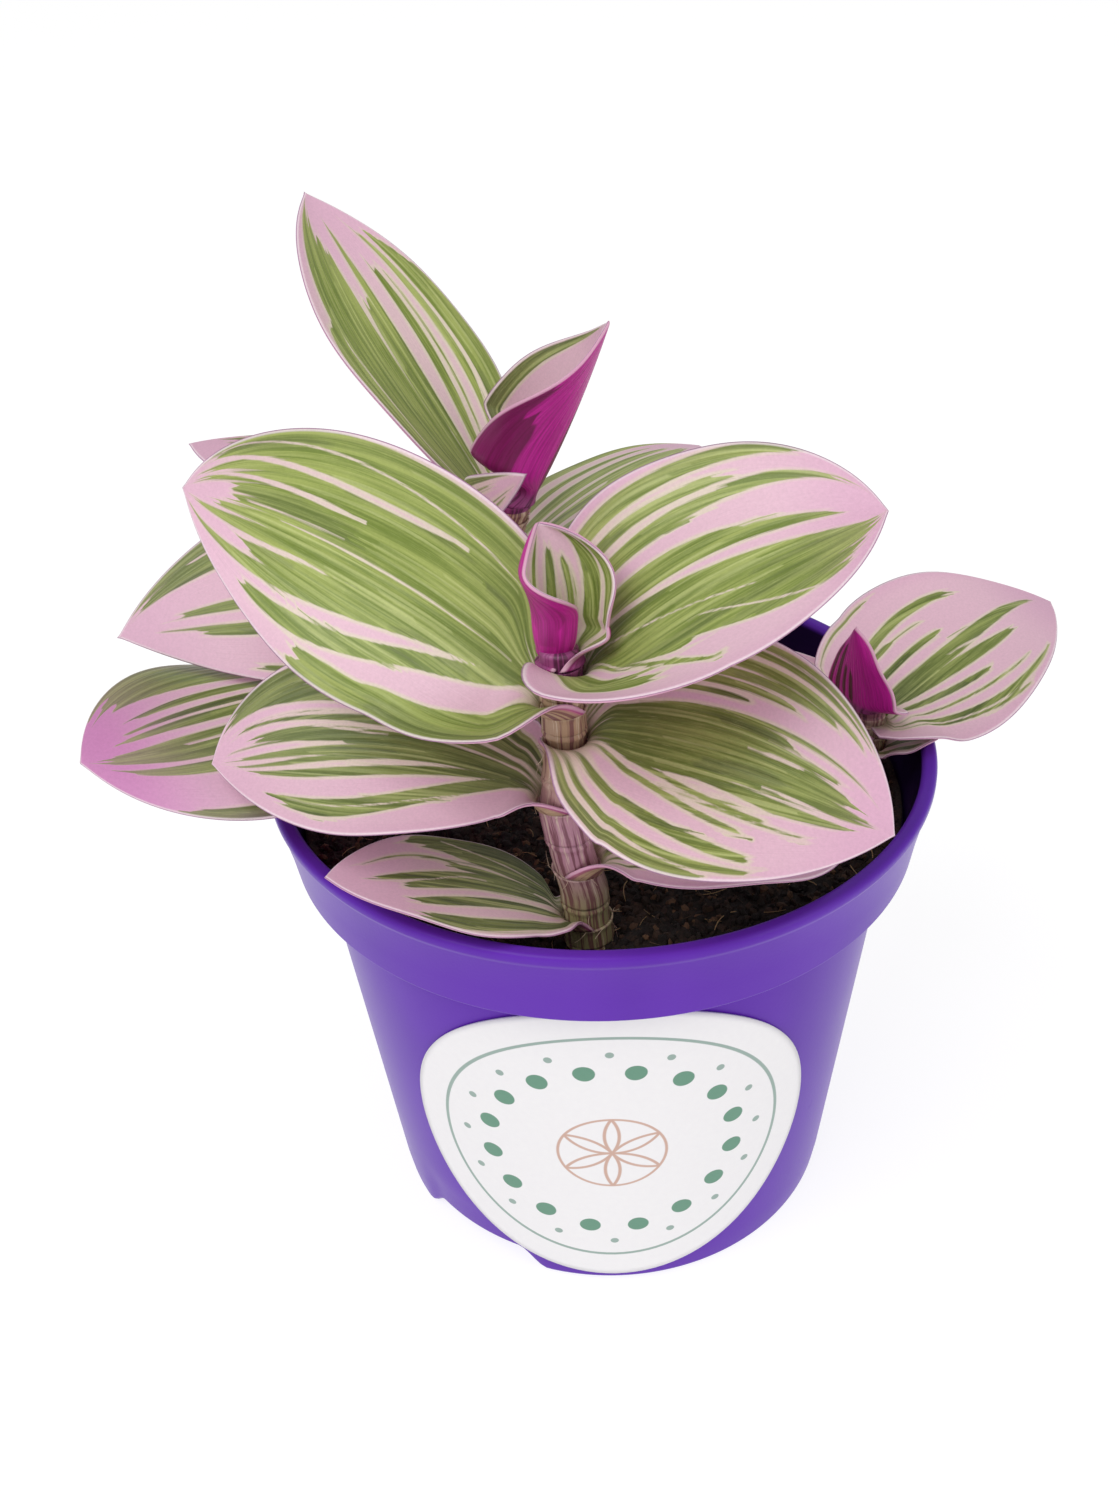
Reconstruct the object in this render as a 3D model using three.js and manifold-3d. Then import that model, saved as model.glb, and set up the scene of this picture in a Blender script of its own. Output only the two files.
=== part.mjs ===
// Potted tradescantia: three jointed cuttings with striped leaves, in a plastic nursery pot filled with peat.
// Lengths are in millimetres and angles in degrees. +Z is up. Seen from the label's side, +X is to the right
// and +Y is away from the viewer. The origin is the centre of the pot's flat underside.

import * as THREE from 'three';
import { mergeVertices } from 'three/addons/utils/BufferGeometryUtils.js';
import Module from 'manifold-3d';

const wasm = await Module();
wasm.setup();

const { degToRad, radToDeg, clamp, lerp, smoothstep, euclideanModulo } = THREE.MathUtils;

// Clearance kept between neighbouring solids, and the distance within which points are one
const gap = 0.35;
const samePoint = 1e-4;

// Pot
const potHeight = 84;
const potWall = 1.3;
const rimRadius = 52.5;
const rimRound = 0.8;
const lipWidth = 2.4;
const lipBand = 1.6;
const lipBandRound = 0.6;
const edgeRound = 0.5;
const collarTopRadius = 52;
const collarFootRadius = 50;
const collarFootHeight = 70.1;
const bodyTopRadius = 46.1;
const bodyFootRadius = 37.9;
const footRound = 1.2;
const floorThickness = 2;
const innerFootHeight = 13;
const innerFootRound = 2;
const wallLevels = [8, 16];
const potSegments = 48;

// Raised arches in the lower edge of the pot, which let water out
const archTurns = [52, 232];
const archHeight = 3.8;
const archHalfWidth = 16.5;
const archEase = 4;
const archDepth = 9;

// Label
const labelRadius = 33.3;
const labelCentreHeight = 35.6;
const labelThickness = 0.5;
const labelStandoff = 0.3;
const labelRings = 5;
const labelSegments = 32;

// Soil
const soilHeight = 74;
const soilRoughness = 0.7;
const soilRings = [42, 35, 28, 21, 14, 7, 0];
const holeRise = 4;
const soilSegments = 32;
const stemFoot = 62;

// Stems: the points of each axis, from the buried foot to the growing tip
const stems = {
  a: {
    axis: [
      [-2.3, -37, 62], [-2.3, -37, 74], [-2.9, -38, 85], [-4.3, -39.2, 92], [-5.5, -40.6, 101],
      [-4.5, -42.3, 109], [-4.5, -44.2, 117], [-4.6, -45, 122.5], [-4.8, -45.2, 128.5],
    ],
    footRadius: 3.1,
    tipRadius: 2.2,
  },
  b: {
    axis: [
      [-12, 6, 62], [-12, 6, 74], [-13, 5, 92], [-14.3, 3.8, 107], [-13.4, 2.2, 118], [-11.4, 1, 125],
      [-10.8, 0.6, 129],
    ],
    footRadius: 2.9,
    tipRadius: 1.9,
  },
  c: {
    axis: [[41, 3, 62], [41, 3, 74], [42.8, 1, 80], [42.3, 0, 89.6]],
    footRadius: 2.4,
    tipRadius: 1.8,
  },
};
const stemSides = 8;
const stemStep = 4;
const nodeSwell = 0.4;
const nodeWidth = 0.5;
const nodeDrop = 0.75;
const nodeReach = 1.6;

// Leaves. Each one grows from a sheath whose mouth is at the height up on its stem. turn is the way it
// points, pitch its rise, bend the change of rise from base to tip, sweep the change of turn, roll and twist
// its turn about its own midrib. swell and taper shape the outline's two ends. curl is how far each half of
// the blade rolls up, tipCurl how far it still does at the tip, and unroll the two parts of the length
// between which it opens. ease is the part of the length over which the outline widens. clasp is how far each
// margin goes round the stem, and hug the part of the length over which it lets go. level turns the clasping
// margin from upright to outward, and drop lowers it on its way. room is how far above its own mouth the next
// sheath starts. Two values in brackets are for the blade's left and right halves.
const leaves = [
  { name: 'leaf_a1', stem: 'a', up: 79, turn: 190.4, pitch: 26.1, bend: -17.7, sweep: 5.5, roll: 0.4,
    twist: -3, length: 35.9, width: 21.8, swell: 0.56, taper: 0.72, curl: [9, 12], ease: [0.09, 0.1],
    clasp: [95, 130], hug: [0.2, 0.06] },
  { name: 'leaf_a2', stem: 'a', up: 89, turn: 10.5, pitch: -3.9, bend: -37, sweep: 5, roll: 6.4,
    twist: -1.2, length: 38.2, width: 25.8, swell: 0.55, taper: 0.73, curl: [21, 20] },
  { name: 'leaf_a3', stem: 'a', up: 101.5, turn: 164.3, pitch: 8.1, bend: -46.8, sweep: 7.7, roll: -25.5,
    twist: -20.8, length: 49, width: 29.6, swell: 0.65, taper: 0.73, curl: [27, 29], ease: [0.08, 0.1],
    clasp: [132, 130], hug: [0.1, 0.12] },
  { name: 'leaf_a4', stem: 'a', up: 113, turn: -21.4, pitch: -4, bend: -30.8, sweep: 2.3, roll: 21.5,
    twist: 17.3, length: 41.8, width: 36.4, swell: 0.41, taper: 0.73, curl: [18, 16], ease: [0.1, 0.2],
    clasp: [130, 171], hug: [0.12, 0.21], level: [0, 0.59], drop: [0, 0.49] },
  { name: 'leaf_a5', stem: 'a', up: 119, turn: 156, pitch: 26.9, bend: -34.7, sweep: -3.8, roll: -54.2,
    twist: -14.9, length: 57.4, width: 34.7, swell: 0.52, taper: 0.69, curl: [32, 34], ease: [0.11, 0.2],
    clasp: [177, 60], hug: [0.32, 0.12], level: [0.62, 0], room: 2.6, columns: 9 },
  { name: 'leaf_a6', stem: 'a', up: 123, turn: 6.4, pitch: 36.8, bend: -40, sweep: -6.4, roll: 7.5,
    twist: 26, length: 43.4, width: 36.9, swell: 0.35, taper: 0.64, curl: [38, 27], ease: [0.18, 0.18],
    clasp: [100, 200], hug: [0.12, 0.46], level: [0, 0.3], drop: [0, 0.35], room: 2, columns: 9 },
  { name: 'leaf_a7', stem: 'a', up: 125.8, turn: 109.7, pitch: 82.2, bend: -7.2, sweep: 1.7, roll: -2.5,
    twist: 17.6, length: 16.9, width: 23.2, swell: 0.38, taper: 0.59, curl: [223, 121], tipCurl: 87.1,
    unroll: [0.35, 0.78], ease: [0.1, 0.2], clasp: [150, 200], hug: [0.12, 0.29], level: [0, 0.19],
    drop: [0, -0.13], columns: 11 },
  { name: 'leaf_b1', stem: 'b', up: 93, turn: 206.9, pitch: 8.9, bend: -15.9, sweep: 6.9, roll: 27.7,
    twist: -62.1, length: 67.9, width: 43, swell: 0.65, taper: 0.63, curl: [-24, -45] },
  { name: 'leaf_b2', stem: 'b', up: 100.5, turn: 25, pitch: 12, bend: -25, sweep: 0, roll: 0, twist: 0,
    length: 48, width: 29, swell: 0.5, taper: 0.85, curl: 16 },
  { name: 'leaf_b3', stem: 'b', up: 107, turn: 186.7, pitch: 4.4, bend: -28.2, sweep: 4.6, roll: -36.1,
    twist: -9.2, length: 57.1, width: 33.8, swell: 0.48, taper: 0.86, curl: [10, 12], ease: [0.14, 0.14] },
  { name: 'leaf_b4', stem: 'b', up: 112, turn: 48, pitch: 6.7, bend: -31.6, sweep: 5.7, roll: -22.7,
    twist: 20.5, length: 49.9, width: 28.2, swell: 0.52, taper: 0.74, curl: [4, 9], ease: [0.14, 0.14],
    room: 2.4 },
  { name: 'leaf_b5', stem: 'b', up: 115.6, turn: 168.3, pitch: 20.3, bend: -24, sweep: -4.8, roll: 8.2,
    twist: -7.3, length: 49.4, width: 28.2, swell: 0.54, taper: 0.76, curl: [6, 0], room: 2.4 },
  { name: 'leaf_b6', stem: 'b', up: 119.2, turn: -124.6, pitch: 38.7, bend: -5, sweep: 95.8, roll: -56.7,
    twist: -37.3, length: 35, width: 9.4, swell: 0.51, taper: 0.76, curl: [5, 16], room: 2.2 },
  { name: 'leaf_b7', stem: 'b', up: 122.2, turn: 138.8, pitch: 43.9, bend: -9.2, sweep: -12.6, roll: 16.3,
    twist: -6.9, length: 57.6, width: 29.9, swell: 0.66, taper: 0.83, curl: [23, 22], clasp: [90, 130],
    room: 2.4 },
  { name: 'leaf_b8', stem: 'b', up: 125.4, turn: -14.4, pitch: 64.3, bend: 9.3, sweep: 0.3, roll: 13.8,
    twist: -6.7, length: 30.5, width: 34.3, swell: 0.32, taper: 0.86, curl: [100, 130], tipCurl: 31.6,
    ease: [0.23, 0.26], columns: 11 },
  { name: 'leaf_c1', stem: 'c', up: 80.5, turn: -35, pitch: 36, bend: -27, sweep: -1.4, roll: 6.7,
    twist: 5.3, length: 10.4, width: 9.6, swell: 0.5, taper: 0.85, curl: [20, 16], room: 2.3 },
  { name: 'leaf_c2', stem: 'c', up: 83.3, turn: 150, pitch: 22, bend: -25, sweep: 0, roll: 0, twist: 0,
    length: 24, width: 16, swell: 0.5, taper: 0.85, curl: 25, room: 2.4 },
  { name: 'leaf_c3', stem: 'c', up: 85.5, turn: 34.7, pitch: 15.5, bend: -48.2, sweep: 6.3, roll: 19.9,
    twist: -6.7, length: 42.8, width: 33.1, swell: 0.33, taper: 0.81, curl: [12, 14], ease: [0.04, 0.01],
    clasp: [77, 131], hug: [0.18, 0.06], room: 2.2 },
  { name: 'leaf_c4', stem: 'c', up: 88.7, turn: -145, pitch: 82.8, bend: 6.2, sweep: -0.4, roll: 5.6,
    twist: -11.8, length: 15.8, width: 14.5, swell: 0.17, taper: 0.8, curl: [22, 16], tipCurl: 58.4,
    ease: [0.11, 0.13], clasp: [133, 130], hug: [0.18, 0.12], columns: 11 },
];
const bladeThickness = 0.7;
const bladeRows = [0, 0.03, 0.07, 0.12, 0.19, 0.27, 0.36, 0.48, 0.62, 0.76, 0.88, 0.96, 0.996];
const bladeColumns = 7;
const smallRows = [0, 0.05, 0.12, 0.3, 0.55, 0.8, 0.96, 0.996];
const smallColumns = 5;
const smallLength = 25;
const bladeWave = 0.4;
const wavesPerBlade = 1.7;
const bendCentre = 0.3;
const tipPoint = 0.015;
const claspPart = 0.12;
const claspAngle = 130;
const claspEase = 0.1;
const sheathPitch = 84;
const sheathWall = 0.8;
const sheathLength = 6;
const sheathOverlap = 0.5;
const sheathRoom = 3;
const boreRise = 1.2;
const boreEase = 0.6;
const coreSides = 10;
const roundUp = 1 / Math.cos(Math.PI / coreSides);

// Solids

// A closed geometry as a solid that can be joined and cut
function solidOf(geometry) {
  const bare = geometry.clone();
  bare.deleteAttribute('normal');
  bare.deleteAttribute('uv');
  const merged = mergeVertices(bare, samePoint);
  const vertProperties = new Float32Array(merged.attributes.position.array);
  const triVerts = new Uint32Array(merged.index.array);
  return new wasm.Manifold(new wasm.Mesh({ numProp: 3, vertProperties, triVerts }));
}

function geometryOf(solid) {
  const mesh = solid.getMesh();
  return indexedGeometry(Array.from(mesh.vertProperties), Array.from(mesh.triVerts));
}

function indexedGeometry(positions, triangles) {
  const geometry = new THREE.BufferGeometry();
  geometry.setAttribute('position', new THREE.Float32BufferAttribute(positions, 3));
  geometry.setIndex(triangles);
  geometry.computeVertexNormals();
  return geometry;
}

// A solid of revolution about the Z axis, from a profile of [radius, height] points
function turned(profile, segments) {
  const points = profile.map(([radius, height]) => new THREE.Vector2(radius, height));
  return new THREE.LatheGeometry(points, segments).rotateX(Math.PI / 2);
}

// A closed skin over rings of points that all have the same count, with a point at each end
function lofted(rings) {
  const count = rings[0].length;
  const positions = [];
  const triangles = [];
  for (const ring of rings) {
    for (const point of ring) positions.push(...point.toArray());
  }
  const addCap = (ring, flip) => {
    const centre = ring.reduce((sum, point) => sum.add(point), new THREE.Vector3()).divideScalar(count);
    const apex = positions.length / 3;
    positions.push(...centre.toArray());
    const start = rings.indexOf(ring) * count;
    for (let i = 0; i < count; i++) {
      const here = start + i;
      const next = start + ((i + 1) % count);
      triangles.push(apex, flip ? next : here, flip ? here : next);
    }
  };
  for (let row = 0; row < rings.length - 1; row++) {
    for (let i = 0; i < count; i++) {
      const low = row * count + i;
      const lowNext = row * count + ((i + 1) % count);
      triangles.push(low, lowNext, lowNext + count, low, lowNext + count, low + count);
    }
  }
  addCap(rings[0], true);
  addCap(rings[rings.length - 1], false);
  return indexedGeometry(positions, triangles);
}

// Stems

// The axis's place at a height
function axisAt(stem, height) {
  const points = stem.axis;
  const above = points.findIndex((point) => point[2] > height);
  if (above === 0) return new THREE.Vector3(points[0][0], points[0][1], height);
  const last = points[points.length - 1];
  if (above < 0) return new THREE.Vector3(last[0], last[1], height);
  const [from, to] = [points[above - 1], points[above]];
  const part = (height - from[2]) / (to[2] - from[2]);
  return new THREE.Vector3(...from).lerp(new THREE.Vector3(...to), part);
}

function tipHeight(stem) {
  return stem.axis[stem.axis.length - 1][2];
}

// The stem's radius at a height, without its nodes
function plainRadius(stem, height) {
  const part = clamp((height - soilHeight) / (tipHeight(stem) - soilHeight), 0, 1);
  return lerp(stem.footRadius, stem.tipRadius, part);
}

// The stem's radius at a height, with the swelling just under each sheath
function stemRadius(stem, height) {
  const swells = stem.sheathFeet.map((foot) => {
    const away = (height - (foot - nodeDrop)) / nodeWidth;
    return nodeSwell * Math.exp(-away * away);
  });
  return plainRadius(stem, height) + Math.max(0, ...swells);
}

// Heights from one level to another, with more of them at the stem's nodes
function stemLevels(stem, from, to) {
  const nodes = stem.sheathFeet.map((foot) => foot - nodeDrop);
  const levels = [from, to];
  for (let height = from + stemStep; height < to - 1; height += stemStep) {
    if (nodes.every((node) => Math.abs(node - height) > 2 * nodeWidth)) levels.push(height);
  }
  const reach = nodeReach * nodeWidth;
  for (const node of nodes) levels.push(node - reach, node, node + reach);
  return levels.filter((level) => level >= from && level <= to).sort((one, two) => one - two);
}

// A column round the stem's axis, with a radius worked out at each level
function column(stem, levels, radiusAt, sides) {
  const rings = levels.map((height) => {
    const centre = axisAt(stem, height);
    const radius = radiusAt(height);
    return Array.from({ length: sides }, (_, i) => {
      const angle = (2 * Math.PI * i) / sides;
      return new THREE.Vector3(Math.cos(angle) * radius, Math.sin(angle) * radius, 0).add(centre);
    });
  });
  return lofted(rings);
}

// Each leaf's sheath reaches down from its mouth towards the leaf below, and stays clear of it
function placeSheaths(stem, own) {
  let lowest = soilHeight + 1.5 * soilRoughness + gap;
  for (const leaf of own) {
    leaf.sheathFoot = Math.max(leaf.up - sheathLength, lowest);
    lowest = leaf.up + (leaf.room ?? sheathRoom);
  }
  own.forEach((leaf, i) => {
    leaf.nextFoot = i + 1 < own.length ? own[i + 1].sheathFoot : Infinity;
  });
  stem.sheathFeet = own.map((leaf) => leaf.sheathFoot);
}

// Leaves

// 1 at the sheath's mouth, falling to 0 where the clasping base ends
function clasping(t) {
  return clamp(1 - t / claspPart, 0, 1);
}

function bothSides(value) {
  return Array.isArray(value) ? value : [value, value];
}

function sheathRadius(leaf) {
  return plainRadius(stems[leaf.stem], leaf.up) + gap + sheathWall / 2;
}

// The midrib's direction and the blade's own axes at a part t of the way from the sheath to the tip
function bladeFrame(leaf, t) {
  const clasp = clasping(t) ** 2;
  const rise = leaf.pitch + leaf.bend * (t - bendCentre);
  const pitch = degToRad(rise + (sheathPitch - rise) * clasp);
  const turn = degToRad(leaf.turn + leaf.sweep * t);
  const roll = degToRad(leaf.roll + leaf.twist * t) * (1 - clasp);
  const [cosPitch, sinPitch] = [Math.cos(pitch), Math.sin(pitch)];
  const forward = new THREE.Vector3(cosPitch * Math.cos(turn), cosPitch * Math.sin(turn), sinPitch);
  const upright = new THREE.Vector3(-sinPitch * Math.cos(turn), -sinPitch * Math.sin(turn), cosPitch);
  const across = forward.clone().cross(upright);
  const up = upright.clone().multiplyScalar(Math.cos(roll)).addScaledVector(across, Math.sin(roll));
  const side = across.clone().multiplyScalar(Math.cos(roll)).addScaledVector(upright, -Math.sin(roll));
  return { forward, up, side };
}

// The midrib as close points from the sheath's mouth to the tip
function midribOf(leaf) {
  const steps = 200;
  const turn = degToRad(leaf.turn);
  const outward = new THREE.Vector3(Math.cos(turn), Math.sin(turn), 0);
  const place = axisAt(stems[leaf.stem], leaf.up).addScaledVector(outward, sheathRadius(leaf));
  const points = [place.clone()];
  for (let i = 0; i < steps; i++) {
    place.addScaledVector(bladeFrame(leaf, (i + 0.5) / steps).forward, leaf.length / steps);
    points.push(place.clone());
  }
  return points;
}

function midribAt(leaf, t) {
  const exact = t * (leaf.midrib.length - 1);
  const low = Math.min(Math.floor(exact), leaf.midrib.length - 2);
  return leaf.midrib[low].clone().lerp(leaf.midrib[low + 1], exact - low);
}

// Half of the blade's width without its clasping base: it narrows to a point at the tip
function halfWidth(leaf, t, right) {
  const widest = leaf.swell / (leaf.swell + leaf.taper);
  const outline = (t / widest) ** leaf.swell * ((1 - t) / (1 - widest)) ** leaf.taper;
  const pointed = (1 - t) / (1 - t + tipPoint);
  return (leaf.width / 2) * outline * pointed * smoothstep(t, 0, bothSides(leaf.ease ?? claspEase)[right]);
}

// The way a half of the blade curls: along the leaf's own upright, but nearer the level where it clasps
function risingOf(leaf, t, right, hug, up) {
  const level = bothSides(leaf.level ?? 0)[right] * hug;
  const drop = bothSides(leaf.drop ?? 0)[right] * 4 * hug * (1 - hug);
  const turn = degToRad(leaf.turn + leaf.sweep * t);
  const back = new THREE.Vector3(-Math.cos(turn), -Math.sin(turn), 0);
  const rising = up.clone().multiplyScalar(1 - level).addScaledVector(back, level);
  rising.z -= drop;
  return rising.normalize();
}

// A point of the blade's middle surface: t runs along it, and u across it from -1 to 1
function bladePoint(leaf, t, u) {
  const right = u < 0 ? 0 : 1;
  const hug = clamp(1 - t / bothSides(leaf.hug ?? claspPart)[right], 0, 1);
  const claspSide = bothSides(leaf.clasp ?? claspAngle)[right];
  const curl = bothSides(leaf.curl)[right];
  const tipCurl = leaf.tipCurl ?? 0.6 * curl;
  const half = halfWidth(leaf, t, right) + sheathRadius(leaf) * degToRad(claspSide) * hug ** 1.5;
  const [unrollStart, unrollEnd] = leaf.unroll ?? [bendCentre, 1];
  const open = curl + (tipCurl - curl) * smoothstep(t, unrollStart, unrollEnd);
  const arc = degToRad(open + (claspSide - open) * hug ** 2);
  const bow = Math.abs(arc) < 1e-3 ? 1e-3 : arc;
  const reach = Math.abs(u) * bow;
  const ripple = Math.sin(2 * Math.PI * (wavesPerBlade * t + leaf.phase));
  const wave = bladeWave * u * u * Math.sin(Math.PI * t) * ripple;
  const { up, side } = bladeFrame(leaf, t);
  return midribAt(leaf, t)
    .addScaledVector(side, (half / bow) * Math.sin(reach) * Math.sign(u))
    .addScaledVector(risingOf(leaf, t, right, hug, up), (half / bow) * (1 - Math.cos(reach)) + wave);
}

function bladeNormal(leaf, t, u) {
  const small = 1e-3;
  const nearTip = bladePoint(leaf, Math.min(t + small, 1 - small), u);
  const nearBase = bladePoint(leaf, Math.max(t - small, 0), u);
  const right = bladePoint(leaf, t, Math.min(u + small, 1));
  const left = bladePoint(leaf, t, Math.max(u - small, -1));
  return nearTip.sub(nearBase).cross(right.sub(left)).normalize();
}

// The blade as a thin closed sheet, its two faces split into triangles alike
function bladeGeometry(leaf) {
  const small = leaf.length < smallLength && !leaf.columns;
  const parts = small ? smallRows : bladeRows;
  const columns = leaf.columns ?? (small ? smallColumns : bladeColumns);
  const rows = parts.length;
  const positions = [];
  for (const lift of [bladeThickness / 2, -bladeThickness / 2]) {
    for (const t of parts) {
      for (let i = 0; i < columns; i++) {
        const u = (2 * i) / (columns - 1) - 1;
        const point = bladePoint(leaf, t, u).addScaledVector(bladeNormal(leaf, t, u), -lift);
        positions.push(...point.toArray());
      }
    }
  }
  const far = rows * columns;
  const triangles = [];
  const addQuad = (a, b, c, d) => triangles.push(a, b, c, a, c, d);
  for (let row = 0; row < rows - 1; row++) {
    for (let i = 0; i < columns - 1; i++) {
      const a = row * columns + i;
      const [b, c, d] = [a + 1, a + columns + 1, a + columns];
      addQuad(a, b, c, d);
      triangles.push(far + a, far + c, far + b, far + a, far + d, far + c);
    }
    const left = row * columns;
    const right = left + columns - 1;
    addQuad(left, left + columns, far + left + columns, far + left);
    addQuad(right, far + right, far + right + columns, right + columns);
  }
  const tip = (rows - 1) * columns;
  for (let i = 0; i < columns - 1; i++) {
    addQuad(i, far + i, far + i + 1, i + 1);
    addQuad(tip + i, tip + i + 1, far + tip + i + 1, far + tip + i);
  }
  return indexedGeometry(positions, triangles);
}

// The leaf is its blade and its sheath in one, bored for the stem and for the sheath above it
function leafGeometry(leaf) {
  const stem = stems[leaf.stem];
  const last = leaf.nextFoot === Infinity;
  const openTop = tipHeight(stem) + sheathRoom;
  const boreTop = last ? tipHeight(stem) + gap : leaf.nextFoot - gap;
  const outer = (height) => (plainRadius(stem, height) + gap + sheathWall) * roundUp;
  const bore = (height) => {
    const swell = height > leaf.up + boreRise ? nodeSwell : 0;
    return (plainRadius(stem, height) + swell + gap) * roundUp;
  };
  const wideBore = (height) => outer(height) + gap * roundUp;
  const boreLevels = [leaf.sheathFoot - 1, leaf.up + boreRise, leaf.up + boreRise + boreEase, boreTop];
  let body = solidOf(bladeGeometry(leaf));
  body = body.add(solidOf(column(stem, [leaf.sheathFoot, leaf.up + sheathOverlap], outer, coreSides)));
  body = body.subtract(solidOf(column(stem, last ? [boreLevels[0], boreTop] : boreLevels, bore, coreSides)));
  if (!last) {
    body = body.subtract(solidOf(column(stem, [boreTop - samePoint, openTop], wideBore, coreSides)));
  }
  const parts = body.decompose();
  parts.sort((one, two) => two.volume() - one.volume());
  return geometryOf(parts[0]);
}

// Pot

function bodyRadius(height) {
  return lerp(bodyFootRadius, bodyTopRadius, height / collarFootHeight);
}

// How far the lower edge is raised at a point of the pot
function archLift(x, y, z) {
  const turn = radToDeg(Math.atan2(y, x));
  const from = archTurns.map((arch) => Math.abs(euclideanModulo(turn - arch + 180, 360) - 180));
  const away = Math.min(...from);
  const across = 1 - smoothstep(away, archHalfWidth - archEase, archHalfWidth + archEase);
  const inward = smoothstep(Math.hypot(x, y), bodyFootRadius - archDepth, bodyFootRadius - footRound);
  const upward = 1 - smoothstep(z, footRound, 4 * archHeight);
  return archHeight * across * inward * upward;
}

function potGeometry() {
  const lipInside = rimRadius - lipWidth;
  const ledgeInside = collarFootRadius - potWall - edgeRound;
  const foot = Array.from({ length: 4 }, (_, i) => {
    const angle = (Math.PI / 6) * i;
    const across = bodyFootRadius - footRound * (1 - Math.sin(angle));
    return [across, footRound * (1 - Math.cos(angle))];
  });
  const profile = [
    [0, 0],
    [bodyFootRadius - archDepth, 0],
    [bodyFootRadius - (archDepth + footRound) / 2, 0],
    ...foot,
    ...wallLevels.map((height) => [bodyRadius(height), height]),
    [bodyTopRadius, collarFootHeight],
    [collarFootRadius - edgeRound, collarFootHeight],
    [collarFootRadius, collarFootHeight + edgeRound],
    [collarTopRadius, potHeight - lipBand - lipBandRound],
    [rimRadius, potHeight - lipBand],
    [rimRadius, potHeight - rimRound],
    [rimRadius - rimRound, potHeight],
    [lipInside + edgeRound, potHeight],
    [lipInside, potHeight - rimRound],
    [ledgeInside, collarFootHeight + potWall],
    [bodyTopRadius - potWall, collarFootHeight - potWall],
    [bodyRadius(innerFootHeight) - potWall, innerFootHeight],
    [bodyFootRadius - archDepth - innerFootRound, floorThickness],
    [0, floorThickness],
  ];
  const geometry = mergeVertices(withoutExtras(turned(profile, potSegments)), samePoint);
  const position = geometry.attributes.position;
  for (let i = 0; i < position.count; i++) {
    const [x, y, z] = [position.getX(i), position.getY(i), position.getZ(i)];
    position.setZ(i, z + (isOutside(x, y, z) ? archLift(x, y, z) : 0));
  }
  geometry.computeVertexNormals();
  return geometry;
}

function withoutExtras(geometry) {
  geometry.deleteAttribute('normal');
  geometry.deleteAttribute('uv');
  return geometry;
}

// The underside and the outer wall, as against the pot's inside
function isOutside(x, y, z) {
  const radius = Math.hypot(x, y);
  return z < floorThickness - samePoint || radius > bodyRadius(z) - potWall / 2;
}

// Label: a round sheet wrapped on the pot's wall

function labelPoint(across, height, standoff) {
  const radius = bodyRadius(height);
  const angle = -Math.PI / 2 + across / radius;
  return [Math.cos(angle) * (radius + standoff), Math.sin(angle) * (radius + standoff), height];
}

function labelGeometry() {
  const positions = [];
  for (const standoff of [labelStandoff + labelThickness, labelStandoff]) {
    positions.push(...labelPoint(0, labelCentreHeight, standoff));
    for (let ring = 1; ring <= labelRings; ring++) {
      const reach = (labelRadius * ring) / labelRings;
      for (let i = 0; i < labelSegments; i++) {
        const angle = (2 * Math.PI * i) / labelSegments;
        const height = labelCentreHeight + reach * Math.sin(angle);
        positions.push(...labelPoint(reach * Math.cos(angle), height, standoff));
      }
    }
  }
  const back = 1 + labelRings * labelSegments;
  const triangles = [];
  const addBoth = (a, b, c) => triangles.push(a, b, c, back + a, back + c, back + b);
  const at = (ring, i) => 1 + (ring - 1) * labelSegments + (i % labelSegments);
  for (let i = 0; i < labelSegments; i++) {
    addBoth(0, at(1, i), at(1, i + 1));
    for (let ring = 1; ring < labelRings; ring++) {
      addBoth(at(ring, i), at(ring + 1, i), at(ring + 1, i + 1));
      addBoth(at(ring, i), at(ring + 1, i + 1), at(ring, i + 1));
    }
    const [edge, next] = [at(labelRings, i), at(labelRings, i + 1)];
    triangles.push(edge, back + edge, back + next, edge, back + next, next);
  }
  return indexedGeometry(positions, triangles);
}

// Soil: fills the pot to a rough top, with a plain hole for each stem

function soilRelief(x, y) {
  const broad = Math.sin(0.21 * x + 1) * Math.cos(0.17 * y + 0.4);
  const fine = Math.sin(0.63 * x + 0.41 * y) * Math.cos(0.52 * y - 0.3 * x);
  return soilRoughness * (0.9 * broad + 0.6 * fine);
}

function soilGeometry() {
  const inset = potWall + gap;
  const ledgeInset = inset + edgeRound;
  const profile = [
    [0, floorThickness + gap],
    [bodyFootRadius - archDepth - innerFootRound - 2 * gap, floorThickness + gap],
    [bodyRadius(innerFootHeight) - inset - gap, innerFootHeight + gap],
    [bodyTopRadius - inset, collarFootHeight - potWall + gap],
    [collarFootRadius - ledgeInset, collarFootHeight + potWall + 2 * gap],
    [collarFootRadius - ledgeInset, soilHeight],
    ...soilRings.map((radius) => [radius, soilHeight]),
  ];
  const geometry = mergeVertices(withoutExtras(turned(profile, soilSegments)), samePoint);
  const position = geometry.attributes.position;
  for (let i = 0; i < position.count; i++) {
    const [x, y, z] = [position.getX(i), position.getY(i), position.getZ(i)];
    if (z > soilHeight - samePoint) position.setZ(i, z + soilRelief(x, y));
  }
  let body = solidOf(geometry);
  for (const stem of Object.values(stems)) {
    const hole = (height) => (stemRadius(stem, height) + gap) * roundUp;
    const levels = stemLevels(stem, stemFoot - gap, soilHeight + holeRise);
    body = body.subtract(solidOf(column(stem, levels, hole, coreSides)));
  }
  return geometryOf(body);
}

// Materials

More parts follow.
